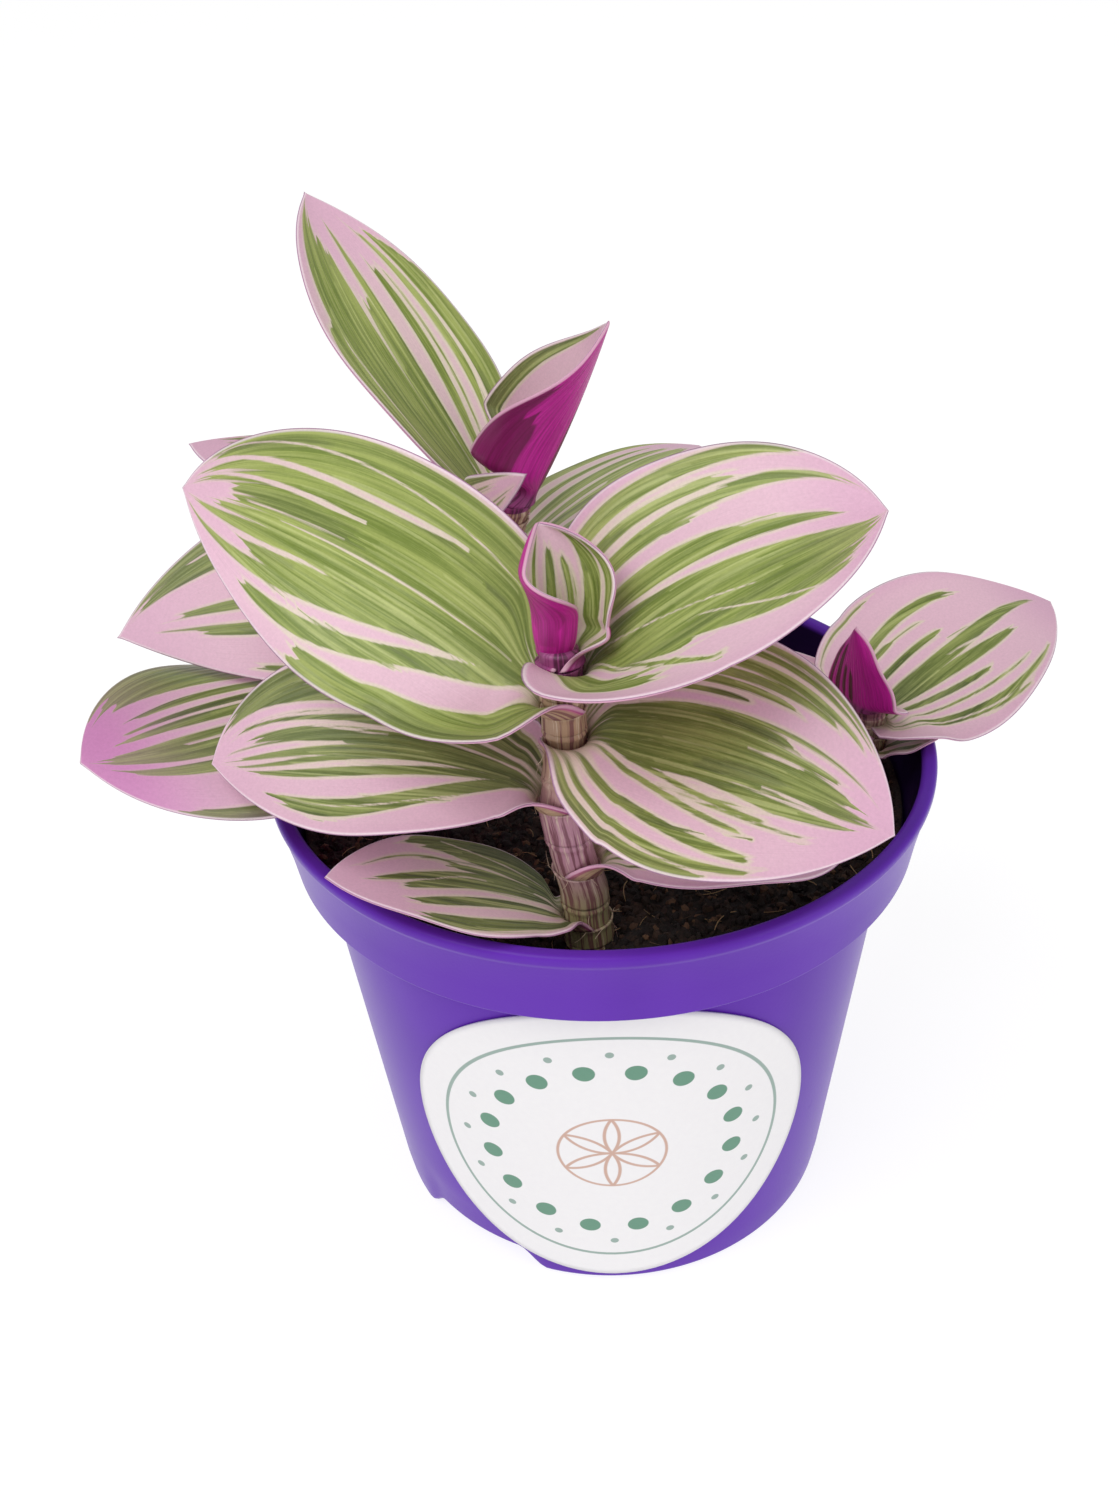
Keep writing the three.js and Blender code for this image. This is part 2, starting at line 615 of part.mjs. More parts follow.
const plastic = new THREE.MeshStandardMaterial({ color: 0x6a44b4, roughness: 0.38, metalness: 0 });
const paper = new THREE.MeshStandardMaterial({ color: 0xf1eef0, roughness: 0.6, metalness: 0 });
const peat = new THREE.MeshStandardMaterial({ color: 0x231a14, roughness: 0.95, metalness: 0 });
const bark = new THREE.MeshStandardMaterial({ color: 0x8a6a5c, roughness: 0.6, metalness: 0 });
const striped = new THREE.MeshStandardMaterial({ color: 0x9dad78, roughness: 0.45, metalness: 0 });
const pinkish = new THREE.MeshStandardMaterial({ color: 0xd9a9c4, roughness: 0.45, metalness: 0 });
const young = new THREE.MeshStandardMaterial({ color: 0x9a2d84, roughness: 0.45, metalness: 0 });

function leafMaterial(leaf) {
  if (leaf.tipCurl) return young;
  return leaf.name === 'leaf_c3' ? pinkish : striped;
}

// The whole plant

const plant = new THREE.Group();

function addPiece(name, geometry, material) {
  const mesh = new THREE.Mesh(geometry, material);
  mesh.name = name;
  plant.add(mesh);
}

for (const [key, stem] of Object.entries(stems)) {
  placeSheaths(stem, leaves.filter((leaf) => leaf.stem === key));
}
leaves.forEach((leaf, i) => {
  leaf.phase = (i * 0.37) % 1;
  leaf.midrib = midribOf(leaf);
});

addPiece('pot', potGeometry(), plastic);
addPiece('label', labelGeometry(), paper);
addPiece('soil', soilGeometry(), peat);
for (const [key, stem] of Object.entries(stems)) {
  const levels = stemLevels(stem, stemFoot, tipHeight(stem));
  addPiece(`stem_${key}`, column(stem, levels, (height) => stemRadius(stem, height), stemSides), bark);
}
for (const leaf of leaves) addPiece(leaf.name, leafGeometry(leaf), leafMaterial(leaf));

export default plant;
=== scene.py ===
# Dresses a potted tradescantia: striped leaves on jointed stems, peat, a purple nursery pot and its label
# The dictionaries are in millimetres and degrees, but those of the stage in metres, as all meshes are

import math

import bmesh
import bpy
import numpy as np
from mathutils import Matrix, Vector


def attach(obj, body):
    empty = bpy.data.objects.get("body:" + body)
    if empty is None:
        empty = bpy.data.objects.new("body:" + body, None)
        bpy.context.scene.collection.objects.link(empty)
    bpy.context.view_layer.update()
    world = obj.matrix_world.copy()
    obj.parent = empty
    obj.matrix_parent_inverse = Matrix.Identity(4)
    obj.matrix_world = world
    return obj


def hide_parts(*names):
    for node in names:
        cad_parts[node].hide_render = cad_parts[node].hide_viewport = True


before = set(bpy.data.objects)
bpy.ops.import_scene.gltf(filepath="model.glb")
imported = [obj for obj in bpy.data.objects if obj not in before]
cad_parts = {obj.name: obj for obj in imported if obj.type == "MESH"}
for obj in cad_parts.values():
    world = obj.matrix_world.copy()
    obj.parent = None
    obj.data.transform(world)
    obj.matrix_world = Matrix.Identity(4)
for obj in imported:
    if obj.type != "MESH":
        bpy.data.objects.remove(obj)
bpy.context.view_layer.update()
mm = 0.001


# Camera, at the place that a fit to points of the pot in the photograph gave

view = {
    "place": (0.0, -223.33, 235.20),
    "right": (0.99929, 0.00357, -0.03747),
    "up": (0.02893, 0.56415, 0.82516),
    "lens": 41.02,
}


def placeCamera():
    data = bpy.data.cameras.new("camera")
    data.lens = view["lens"]
    data.sensor_width = 36
    data.clip_start = 0.01
    camera = bpy.data.objects.new("camera", data)
    bpy.context.collection.objects.link(camera)
    right = np.array(view["right"])
    up = np.array(view["up"])
    back = np.cross(right, up)
    turn = Matrix([right, up, back]).transposed().to_4x4()
    camera.matrix_world = Matrix.Translation([value * mm for value in view["place"]]) @ turn
    bpy.context.scene.camera = camera


placeCamera()
print("camera placed")


# Shader helpers

def tint(code):
    # A colour as it looks on screen, such as "7c9a4e", as the shader takes it
    parts = [int(code[i : i + 2], 16) / 255 for i in (0, 2, 4)]
    lit = [part / 12.92 if part < 0.04045 else ((part + 0.055) / 1.055) ** 2.4 for part in parts]
    return (*lit, 1.0)


def shades(colours):
    return {key: tint(code) for key, code in colours.items()}


class Value:
    # A number socket that can be used in sums
    def __init__(self, finish, socket):
        self.finish = finish
        self.socket = socket

    def math(self, operation, *others):
        made = self.finish.node("ShaderNodeMath", {"operation": operation}, dict(enumerate(others)))
        return Value(self.finish, made.outputs[0])

    def __add__(self, other):
        return self.math("ADD", self, other)

    def __sub__(self, other):
        return self.math("SUBTRACT", self, other)

    def __rsub__(self, other):
        return self.math("SUBTRACT", other, self)

    def __mul__(self, other):
        return self.math("MULTIPLY", self, other)

    def __truediv__(self, other):
        return self.math("DIVIDE", self, other)

    __radd__ = __add__

    def least(self, other):
        return self.math("MINIMUM", self, other)

    def most(self, other):
        return self.math("MAXIMUM", self, other)

    def size(self):
        return self.math("ABSOLUTE", self)

    def wave(self):
        return self.math("SINE", self)

    def fraction(self):
        return self.math("FRACT", self)

    def power(self, other):
        return self.math("POWER", self, other)

    def step(self, low, high):
        # 0 below low and 1 above high, with a soft change between
        made = self.finish.node(
            "ShaderNodeMapRange",
            {"interpolation_type": "SMOOTHSTEP"},
            {"Value": self, "From Min": low, "From Max": high},
        )
        return Value(self.finish, made.outputs[0])


class Nodes:
    # A tree of nodes, with the ways to add one and to feed its sockets
    def node(self, kind, settings=None, values=None):
        made = self.tree.nodes.new(kind)
        for key, value in (settings or {}).items():
            setattr(made, key, value)
        for key, value in (values or {}).items():
            self.feed(made.inputs[key], value)
        return made

    def feed(self, socket, value):
        if isinstance(value, Value):
            self.tree.links.new(value.socket, socket)
        elif isinstance(value, bpy.types.NodeSocket):
            self.tree.links.new(value, socket)
        else:
            socket.default_value = value


class Finish(Nodes):
    # One material and the nodes that make it
    def __init__(self, name):
        self.material = bpy.data.materials.new(name)
        self.material.use_nodes = True
        self.tree = self.material.node_tree
        self.shader = self.tree.nodes["Principled BSDF"]

    def attribute(self, name):
        made = self.node("ShaderNodeAttribute", {"attribute_name": name})
        parts = self.node("ShaderNodeSeparateColor", None, {0: made.outputs["Color"]})
        values = [Value(self, output) for output in parts.outputs]
        return values + [Value(self, made.outputs["Alpha"])]

    def vector(self, x, y, z=0.0):
        return self.node("ShaderNodeCombineXYZ", None, {0: x, 1: y, 2: z}).outputs[0]

    def place(self):
        return self.node("ShaderNodeTexCoord").outputs["Object"]

    def placeParts(self):
        parts = self.node("ShaderNodeSeparateXYZ", None, {0: self.place()})
        return [Value(self, output) for output in parts.outputs]

    def noise(self, scale, detail=2.0, rough=0.5, where=None):
        values = {"Scale": scale, "Detail": detail, "Roughness": rough}
        values["Vector"] = where if where is not None else self.place()
        made = self.node("ShaderNodeTexNoise", None, values)
        return Value(self, made.outputs[0])

    def factor(self, name):
        return Value(self, self.node("ShaderNodeAttribute", {"attribute_name": name}).outputs["Fac"])

    def mix(self, factor, first, second):
        values = {0: factor, 6: first, 7: second}
        return self.node("ShaderNodeMix", {"data_type": "RGBA"}, values).outputs[2]

    def set(self, **values):
        for key, value in values.items():
            self.feed(self.shader.inputs[key.replace("_", " ")], value)

    def bump(self, height, strength, distance):
        values = {"Height": height, "Strength": strength, "Distance": distance}
        self.set(Normal=self.node("ShaderNodeBump", None, values).outputs[0])


# Stems: the points of each axis and the radii at the soil and at the tip, as in the part's source

stems = {
    "a": {
        "axis": [
            (-2.3, -37, 62), (-2.3, -37, 74), (-2.9, -38, 85), (-4.3, -39.2, 92), (-5.5, -40.6, 101),
            (-4.5, -42.3, 109), (-4.5, -44.2, 117), (-4.6, -45, 122.5), (-4.8, -45.2, 128.5),
        ],
        "radii": (3.1, 2.2),
        "youngTop": 5,
    },
    "b": {
        "axis": [
            (-12, 6, 62), (-12, 6, 74), (-13, 5, 92), (-14.3, 3.8, 107), (-13.4, 2.2, 118), (-11.4, 1, 125),
            (-10.8, 0.6, 129),
        ],
        "radii": (2.9, 1.9),
        "youngTop": 5,
    },
    "c": {
        "axis": [(41, 3, 62), (41, 3, 74), (42.8, 1, 80), (42.3, 0, 89.6)],
        "radii": (2.4, 1.8),
        "youngTop": 2.5,
    },
}
soilHeight = 74
soilRoughness = 0.7
gap = 0.35
nodeSwell = 0.4
nodeWidth = 0.5
nodeDrop = 0.75
# The drawn stems: the height between rings, how far they stand over the solid ones, their share of the
# nodes' swell, and the heights where the skin turns pink and then tan
drawnStem = {"step": 0.4, "skin": 0.25, "swell": 0.8, "pinkHeights": (80, 93), "tanHeights": (98, 112)}


def axisAt(stem, heights):
    points = np.array(stem["axis"], float)
    heights = np.asarray(heights, float)
    x = np.interp(heights, points[:, 2], points[:, 0])
    y = np.interp(heights, points[:, 2], points[:, 1])
    return np.stack([x, y, heights], -1)


def plainRadius(stem, height):
    tip = stem["axis"][-1][2]
    return np.interp(height, [soilHeight, tip], stem["radii"])


# Leaves. The first values of each give its place, pose and form, as in the part's source. For all but
# leaf_b2 and leaf_c2 most of them weren't chosen by hand: they came out of a fit of the blades' margins to
# those in the photograph. The streaks and the tones were set one by one. green lists the streaks on a leaf's
# pale upper side and pale the lines through them, each as (place across at its start, half way and at its
# end, half width, start along, end along). Places across run from -1 to 1 and those along from 0 to 1. tone
# makes the greens darker, flush pinkens the tip and the margins, and cream takes the pink out of the pale
# parts.

leaves = {
    "leaf_a1": dict(
        stem="a", up=79, turn=190.4, pitch=26.1, bend=-17.7, sweep=5.5, roll=0.4, twist=-3,
        length=35.9, width=21.8, swell=0.56, taper=0.72, curl=(9, 12), clasp=(95, 130),
        hug=(0.2, 0.06), ease=(0.09, 0.1),
        tone=0.75, flush=0.1, cream=0.5,
        green=[
            (-0.7, -0.74, -0.9, 0.14, 0, 0.67), (-0.25, -0.25, -0.52, 0.1, 0.03, 0.68),
            (0.1, 0.1, -0.15, 0.1, 0.06, 0.7), (0.28, 0.2, -0.03, 0.08, 0.2, 0.82),
            (0.3, 0.56, 0.45, 0.02, 0.35, 0.85), (0.3, 0.36, 0.42, 0.06, 0.05, 0.5),
            (0.42, 0.55, 0.72, 0.1, 0.03, 0.5), (0.6, 0.75, 0.85, 0.14, 0.03, 0.62),
            (0.85, 0.9, 0.92, 0.14, 0.03, 0.66),
        ],
        pale=[
            (0.6, 0.7, 0.9, 0.01, 0.1, 0.52), (0.22, 0.17, 0.02, 0.012, 0.4, 0.6),
        ],
    ),
    "leaf_a2": dict(
        stem="a", up=89, turn=10.5, pitch=-3.9, bend=-37, sweep=5, roll=6.4, twist=-1.2, length=38.2,
        width=25.8, swell=0.55, taper=0.73, curl=(21, 20),
        tone=0.6, flush=0.55, cream=0.1,
        green=[
            (-0.8, -0.8, -0.8, 0.12, 0, 0.7), (-0.4, -0.425, -0.45, 0.14, 0, 0.8),
            (0, 0, 0, 0.14, 0, 0.82), (0.3, 0.31, 0.32, 0.06, 0, 0.7), (0.55, 0.575, 0.6, 0.04, 0, 0.45),
        ],
        pale=[],
    ),
    "leaf_a3": dict(
        stem="a", up=101.5, turn=164.3, pitch=8.1, bend=-46.8, sweep=7.7, roll=-25.5, twist=-20.8,
        length=49, width=29.6, swell=0.65, taper=0.73, curl=(27, 29), clasp=(132, 130),
        hug=(0.1, 0.12), ease=(0.08, 0.1),
        tone=0.62, flush=0.2, cream=0.15,
        green=[
            (-0.08, -0.6, -0.73, 0.1, 0.04, 0.77), (-0.1, -0.27, -0.4, 0.05, 0.08, 0.86),
            (-0.08, -0.12, -0.32, 0.035, 0.03, 0.92), (-0.04, -0.06, -0.14, 0.05, 0.03, 0.92),
            (0.04, 0.04, 0.2, 0.09, 0.03, 0.86), (0.04, 0.06, 0.1, 0.018, 0.5, 0.92),
            (0.2, 0.22, 0.48, 0.05, 0.03, 0.9), (0.4, 0.45, 0.84, 0.1, 0.03, 0.93),
            (0.6, 0.7, 0.95, 0.12, 0.03, 0.92),
        ],
        pale=[
            (-0.45, -0.64, -0.7, 0.009, 0.2, 0.7), (0, 0.01, 0.05, 0.016, 0.62, 0.9),
            (0.1, 0.2, 0.36, 0.012, 0.5, 0.85), (0.3, 0.36, 0.56, 0.018, 0.5, 0.92),
        ],
    ),
    "leaf_a4": dict(
        stem="a", up=113, turn=-21.4, pitch=-4, bend=-30.8, sweep=2.3, roll=21.5, twist=17.3,
        length=41.8, width=36.4, swell=0.41, taper=0.73, curl=(18, 16), clasp=(130, 171),
        hug=(0.12, 0.21), ease=(0.1, 0.2), level=(0, 0.59), drop=(0, 0.49),
        tone=0.42, flush=0.3, cream=0.3,
        green=[
            (-0.93, -0.93, -0.97, 0.026, 0, 0.86), (-0.87, -0.86, -0.9, 0.026, 0, 0.8),
            (-0.77, -0.76, -0.8, 0.04, 0, 0.79), (-0.66, -0.66, -0.72, 0.035, 0, 0.72),
            (-0.57, -0.58, -0.6, 0.03, 0, 0.6), (-0.48, -0.49, -0.5, 0.022, 0, 0.47),
            (-0.34, -0.38, -0.43, 0.02, 0.2, 0.88), (-0.25, -0.28, -0.3, 0.07, 0, 0.62),
            (-0.2, -0.22, -0.24, 0.04, 0.2, 0.79), (-0.1, -0.13, -0.08, 0.09, 0, 0.87),
            (0, 0, 0.06, 0.08, 0, 0.88), (0.04, 0.08, 0.14, 0.06, 0.1, 0.9),
            (0.1, 0.2, 0.3, 0.06, 0.1, 0.86), (0.1, 0.28, 0.42, 0.022, 0.05, 0.66),
            (0.2, 0.38, 0.54, 0.025, 0.05, 0.58), (0.36, 0.42, 0.52, 0.012, 0.4, 0.77),
            (0.5, 0.62, 0.81, 0.045, 0, 0.66), (0.7, 0.82, 0.92, 0.035, 0, 0.65),
            (0.88, 0.92, 0.97, 0.05, 0, 0.5),
        ],
        pale=[
            (-0.28, -0.28, -0.3, 0.012, 0.6, 0.76), (-0.16, -0.17, -0.17, 0.016, 0.55, 0.7),
            (0.11, 0.15, 0.2, 0.018, 0.63, 0.85), (0.22, 0.26, 0.32, 0.03, 0.35, 0.62),
        ],
    ),
    "leaf_a5": dict(
        stem="a", up=119, turn=156, pitch=26.9, bend=-34.7, sweep=-3.8, roll=-54.2, twist=-14.9,
        length=57.4, width=34.7, swell=0.52, taper=0.69, curl=(32, 34), clasp=(177, 60),
        hug=(0.32, 0.12), ease=(0.11, 0.2), level=(0.62, 0), room=2.6,
        tone=0.2, flush=0.15, cream=0.15,
        green=[
            (-0.85, -0.9, -0.9, 0.11, 0, 0.57), (-0.6, -0.82, -0.92, 0.13, 0, 0.42),
            (-0.42, -0.68, -0.86, 0.1, 0, 0.27), (-0.05, -0.56, -0.77, 0.075, 0.05, 0.77),
            (-0.02, -0.36, -0.66, 0.07, 0.06, 0.94), (0, -0.24, -0.4, 0.09, 0.06, 0.8),
            (0.04, -0.1, -0.26, 0.09, 0.06, 0.94), (0.1, 0.03, -0.06, 0.08, 0.06, 0.9),
            (0.2, 0.14, 0.1, 0.08, 0.06, 0.88), (0.3, 0.26, 0.27, 0.1, 0.06, 0.89),
            (0.42, 0.4, 0.46, 0.09, 0.06, 0.96), (0.56, 0.54, 0.64, 0.09, 0.06, 0.92),
            (0.7, 0.68, 0.84, 0.1, 0.06, 0.9), (0.86, 0.86, 0.97, 0.1, 0.06, 0.92),
        ],
        pale=[
            (-0.22, -0.28, -0.34, 0.022, 0.62, 0.88), (0.03, 0.02, 0.03, 0.008, 0.15, 0.75),
            (0.3, 0.38, 0.56, 0.026, 0.57, 0.95), (0.53, 0.54, 0.85, 0.03, 0.35, 0.94),
            (0.62, 0.74, 0.92, 0.01, 0.22, 0.86), (0.1, 0.1, 0.12, 0.01, 0.6, 0.85),
        ],
    ),
    "leaf_a6": dict(
        stem="a", up=123, turn=6.4, pitch=36.8, bend=-40, sweep=-6.4, roll=7.5, twist=26, length=43.4,
        width=36.9, swell=0.35, taper=0.64, curl=(38, 27), clasp=(100, 200), hug=(0.12, 0.46),
        ease=(0.18, 0.18), level=(0, 0.3), drop=(0, 0.35), room=2,
        tone=0.25, flush=0.3, cream=0.15,
        green=[
            (-0.86, -0.86, -0.98, 0.06, 0, 0.83), (-0.69, -0.69, -0.72, 0.045, 0, 0.64),
            (-0.55, -0.55, -0.75, 0.055, 0, 0.92), (-0.3, -0.29, -0.24, 0.055, 0, 0.61),
            (-0.22, -0.2, -0.14, 0.06, 0.1, 0.87), (-0.08, 0.05, 0.22, 0.1, 0.03, 0.93),
            (-0.04, 0.15, 0.34, 0.1, 0.03, 0.97), (0, 0.26, 0.46, 0.1, 0.03, 0.96),
            (0.02, 0.38, 0.6, 0.1, 0.03, 0.92), (0.03, 0.46, 0.72, 0.07, 0.05, 0.86),
            (0.04, 0.3, 0.5, 0.06, 0.03, 0.38), (0.12, 0.42, 0.8, 0.03, 0.02, 0.42),
            (0.35, 0.5, 0.56, 0.05, 0, 0.24), (0.62, 0.62, 0.72, 0.11, 0, 0.28),
        ],
        pale=[
            (-0.78, -0.75, -0.86, 0.014, 0.1, 0.86), (-0.62, -0.62, -0.62, 0.012, 0.2, 0.6),
            (-0.18, -0.08, 0.04, 0.024, 0.12, 0.8), (-0.02, 0.14, 0.3, 0.007, 0.1, 0.6),
            (0.3, 0.5, 0.72, 0.01, 0.42, 0.76), (0.06, 0.34, 0.58, 0.012, 0.05, 0.3),
        ],
    ),
    "leaf_a7": dict(
        stem="a", up=125.8, turn=109.7, pitch=82.2, bend=-7.2, sweep=1.7, roll=-2.5, twist=17.6,
        length=16.9, width=23.2, swell=0.38, taper=0.59, curl=(223, 121), tipCurl=87.1,
        unroll=(0.35, 0.78), clasp=(150, 200), hug=(0.12, 0.29), ease=(0.1, 0.2), level=(0, 0.19),
        drop=(0, -0.13),
        young=True, tone=0.4, flush=0, cream=0.45,
        green=[
            (-0.6, -0.6, -0.6, 0.2, 0.3, 0.84), (-0.2, -0.2, -0.18, 0.04, 0.3, 0.88),
            (0.05, 0.06, 0.1, 0.06, 0.3, 0.81), (0.27, 0.27, 0.27, 0.04, 0.3, 0.73),
            (0.5, 0.56, 0.72, 0.12, 0.05, 0.92), (0.85, 0.85, 0.9, 0.08, 0, 0.9),
        ],
        pale=[],
    ),
    "leaf_b1": dict(
        stem="b", up=93, turn=206.9, pitch=8.9, bend=-15.9, sweep=6.9, roll=27.7, twist=-62.1,
        length=67.9, width=43, swell=0.65, taper=0.63, curl=(-24, -45),
        tone=0.5, flush=1, cream=0.2,
        green=[
            (-0.9, -0.92, -0.95, 0.06, 0.3, 0.85), (-0.5, -0.48, -0.46, 0.06, 0.3, 0.93),
            (-0.25, -0.25, -0.22, 0.13, 0.2, 0.965), (-0.02, 0, 0.05, 0.05, 0.2, 0.9),
            (0.1, 0.12, 0.15, 0.03, 0.3, 0.9), (0.2, 0.25, 0.3, 0.04, 0.3, 0.88),
            (0.5, 0.55, 0.72, 0.18, 0.2, 0.92), (0.8, 0.85, 0.9, 0.2, 0.2, 0.9),
        ],
        pale=[
            (-0.2, -0.2, -0.2, 0.012, 0.3, 0.8),
        ],
    ),
    "leaf_b2": dict(
        stem="b", up=100.5, turn=25, pitch=12, bend=-25, sweep=0, roll=0, twist=0,
        length=48, width=29, swell=0.5, taper=0.85, curl=16, tone=0.6, flush=0.2, cream=0.1,
        green=[
            (-0.7, -0.725, -0.75, 0.12, 0, 0.8), (-0.4, -0.41, -0.42, 0.08, 0, 0.66),
            (-0.1, -0.11, -0.12, 0.16, 0, 0.9), (0.2, 0.22, 0.24, 0.06, 0, 0.8),
            (0.5, 0.53, 0.56, 0.1, 0, 0.7), (0.85, 0.85, 0.85, 0.1, 0, 0.84),
        ],
        pale=[],
    ),
    "leaf_b3": dict(
        stem="b", up=107, turn=186.7, pitch=4.4, bend=-28.2, sweep=4.6, roll=-36.1, twist=-9.2,
        length=57.1, width=33.8, swell=0.48, taper=0.86, curl=(10, 12), ease=(0.14, 0.14),
        tone=0.45, flush=0.25, cream=0.15,
        green=[
            (-0.8, -0.82, -0.84, 0.035, 0.2, 0.67), (-0.33, -0.34, -0.36, 0.08, 0.1, 0.8),
            (-0.3, -0.3, -0.28, 0.03, 0.2, 0.88), (-0.05, -0.04, 0, 0.07, 0.1, 0.85),
            (0.6, 0.62, 0.7, 0.14, 0.1, 0.93), (0.85, 0.88, 0.92, 0.14, 0.1, 0.96),
        ],
        pale=[
            (0.7, 0.74, 0.8, 0.012, 0.3, 0.8),
        ],
    ),
    "leaf_b4": dict(
        stem="b", up=112, turn=48, pitch=6.7, bend=-31.6, sweep=5.7, roll=-22.7, twist=20.5,
        length=49.9, width=28.2, swell=0.52, taper=0.74, curl=(4, 9), ease=(0.14, 0.14), room=2.4,
        tone=0.15, flush=0.2, cream=0.7,
        green=[
            (-0.92, -0.91, -0.9, 0.09, 0, 0.94), (-0.62, -0.61, -0.6, 0.05, 0, 0.8),
            (-0.36, -0.35, -0.34, 0.09, 0, 0.86), (0, 0, 0, 0.2, 0, 0.9),
            (0.5, 0.5, 0.5, 0.16, 0, 0.86), (0.88, 0.88, 0.88, 0.1, 0, 0.8),
        ],
        pale=[
            (-0.05, -0.05, -0.05, 0.03, 0.1, 0.5), (0.62, 0.63, 0.64, 0.02, 0.1, 0.7),
        ],
    ),
    "leaf_b5": dict(
        stem="b", up=115.6, turn=168.3, pitch=20.3, bend=-24, sweep=-4.8, roll=8.2, twist=-7.3,
        length=49.4, width=28.2, swell=0.54, taper=0.76, curl=(6, 0), room=2.4,
        tone=0.35, flush=0.2, cream=0.2,
        green=[
            (-0.7, -0.68, -0.66, 0.2, 0, 0.76), (-0.35, -0.35, -0.35, 0.12, 0, 0.8),
            (0.1, 0.15, 0.2, 0.1, 0, 0.8), (0.4, 0.425, 0.45, 0.14, 0, 0.86),
            (0.72, 0.73, 0.74, 0.14, 0, 0.88), (0.95, 0.95, 0.95, 0.06, 0, 0.88),
        ],
        pale=[
            (0.3, 0.32, 0.34, 0.02, 0.1, 0.8),
        ],
    ),
    "leaf_b6": dict(
        stem="b", up=119.2, turn=-124.6, pitch=38.7, bend=-5, sweep=95.8, roll=-56.7, twist=-37.3,
        length=35, width=9.4, swell=0.51, taper=0.76, curl=(5, 16), room=2.2,
        flipped=True, tone=0.5, flush=0, cream=0.6,
        green=[
            (0.8, 0.82, 0.85, 0.2, 0, 0.93), (0.35, 0.36, 0.4, 0.05, 0.1, 0.8),
            (-0.3, -0.32, -0.36, 0.04, 0.1, 0.9), (-0.62, -0.6, -0.55, 0.07, 0, 0.86),
        ],
        pale=[],
    ),
    "leaf_b7": dict(
        stem="b", up=122.2, turn=138.8, pitch=43.9, bend=-9.2, sweep=-12.6, roll=16.3, twist=-6.9,
        length=57.6, width=29.9, swell=0.66, taper=0.83, curl=(23, 22), clasp=(90, 130),
        room=2.4,
        tone=0.22, flush=0.2, cream=0.6,
        green=[
            (-0.85, -0.85, -0.84, 0.12, 0, 0.57), (-0.6, -0.66, -0.7, 0.12, 0.03, 0.95),
            (-0.45, -0.5, -0.56, 0.1, 0.03, 0.92), (-0.35, -0.38, -0.42, 0.1, 0.03, 0.87),
            (-0.25, -0.25, -0.3, 0.08, 0.03, 0.8), (-0.15, -0.08, -0.06, 0.08, 0.05, 0.66),
            (0, 0.05, 0.03, 0.05, 0.05, 0.87), (0.22, 0.35, 0.36, 0.055, 0.1, 0.76),
            (0.42, 0.48, 0.48, 0.014, 0.2, 0.72), (0.6, 0.66, 0.62, 0.045, 0.1, 0.86),
            (0.8, 0.85, 0.8, 0.1, 0.1, 0.82), (0.95, 0.95, 0.9, 0.06, 0.1, 0.75),
        ],
        pale=[
            (-0.72, -0.7, -0.74, 0.012, 0.1, 0.55), (0.6, 0.73, 0.7, 0.01, 0.2, 0.7),
        ],
    ),
    "leaf_b8": dict(
        stem="b", up=125.4, turn=-14.4, pitch=64.3, bend=9.3, sweep=0.3, roll=13.8, twist=-6.7,
        length=30.5, width=34.3, swell=0.32, taper=0.86, curl=(100, 130), tipCurl=31.6,
        ease=(0.23, 0.26),
        young=True, tone=0.7, flush=0.3, cream=0.1,
        green=[
            (-0.9, -0.9, -0.85, 0.07, 0, 0.96), (-0.3, -0.26, -0.2, 0.05, 0.35, 0.9),
            (0, 0.01, 0.02, 0.07, 0, 0.93), (0.2, 0.15, 0.1, 0.06, 0, 0.6),
            (0.8, 0.8, 0.8, 0.2, 0, 0.56), (0.9, 0.9, 0.9, 0.07, 0, 0.75),
        ],
        pale=[],
    ),
    "leaf_c1": dict(
        stem="c", up=80.5, turn=-35, pitch=36, bend=-27, sweep=-1.4, roll=6.7, twist=5.3,
        length=10.4, width=9.6, swell=0.5, taper=0.85, curl=(20, 16), room=2.3,
        tone=0.8, flush=0, cream=0.5,
        green=[
            (-0.6, -0.6, -0.6, 0.14, 0, 0.8), (0, 0, 0, 0.14, 0, 0.9), (0.6, 0.6, 0.6, 0.14, 0, 0.8),
        ],
        pale=[],
    ),
    "leaf_c2": dict(
        stem="c", up=83.3, turn=150, pitch=22, bend=-25, sweep=0, roll=0, twist=0,
        length=24, width=16, swell=0.5, taper=0.85, curl=25, room=2.4, tone=0.6, flush=0.2, cream=0.2,
        green=[
            (-0.7, -0.7, -0.7, 0.12, 0, 0.8), (-0.3, -0.3, -0.3, 0.1, 0, 0.7),
            (0.1, 0.1, 0.1, 0.1, 0, 0.85), (0.6, 0.6, 0.6, 0.14, 0, 0.75),
        ],
        pale=[],
    ),
    "leaf_c3": dict(
        stem="c", up=85.5, turn=34.7, pitch=15.5, bend=-48.2, sweep=6.3, roll=19.9, twist=-6.7,
        length=42.8, width=33.1, swell=0.33, taper=0.81, curl=(12, 14), clasp=(77, 131),
        hug=(0.18, 0.06), ease=(0.04, 0.01), room=2.2,
        tone=0.5, flush=0.3, cream=0.0,
        green=[
            (-0.92, -0.92, -0.92, 0.016, 0.05, 0.3), (-0.5, -0.57, -0.64, 0.05, 0.05, 0.56),
            (-0.42, -0.42, -0.42, 0.03, 0.03, 0.24), (-0.42, -0.42, -0.42, 0.009, 0.15, 0.38),
            (-0.2, -0.21, -0.22, 0.035, 0.03, 0.42), (0, 0.02, -0.24, 0.085, 0.02, 0.9),
            (0.08, 0.2, 0.26, 0.07, 0.03, 0.64), (0.22, 0.36, 0.46, 0.035, 0.02, 0.43),
            (0.4, 0.56, 0.68, 0.014, 0.05, 0.56), (0.5, 0.76, 0.87, 0.035, 0.02, 0.66),
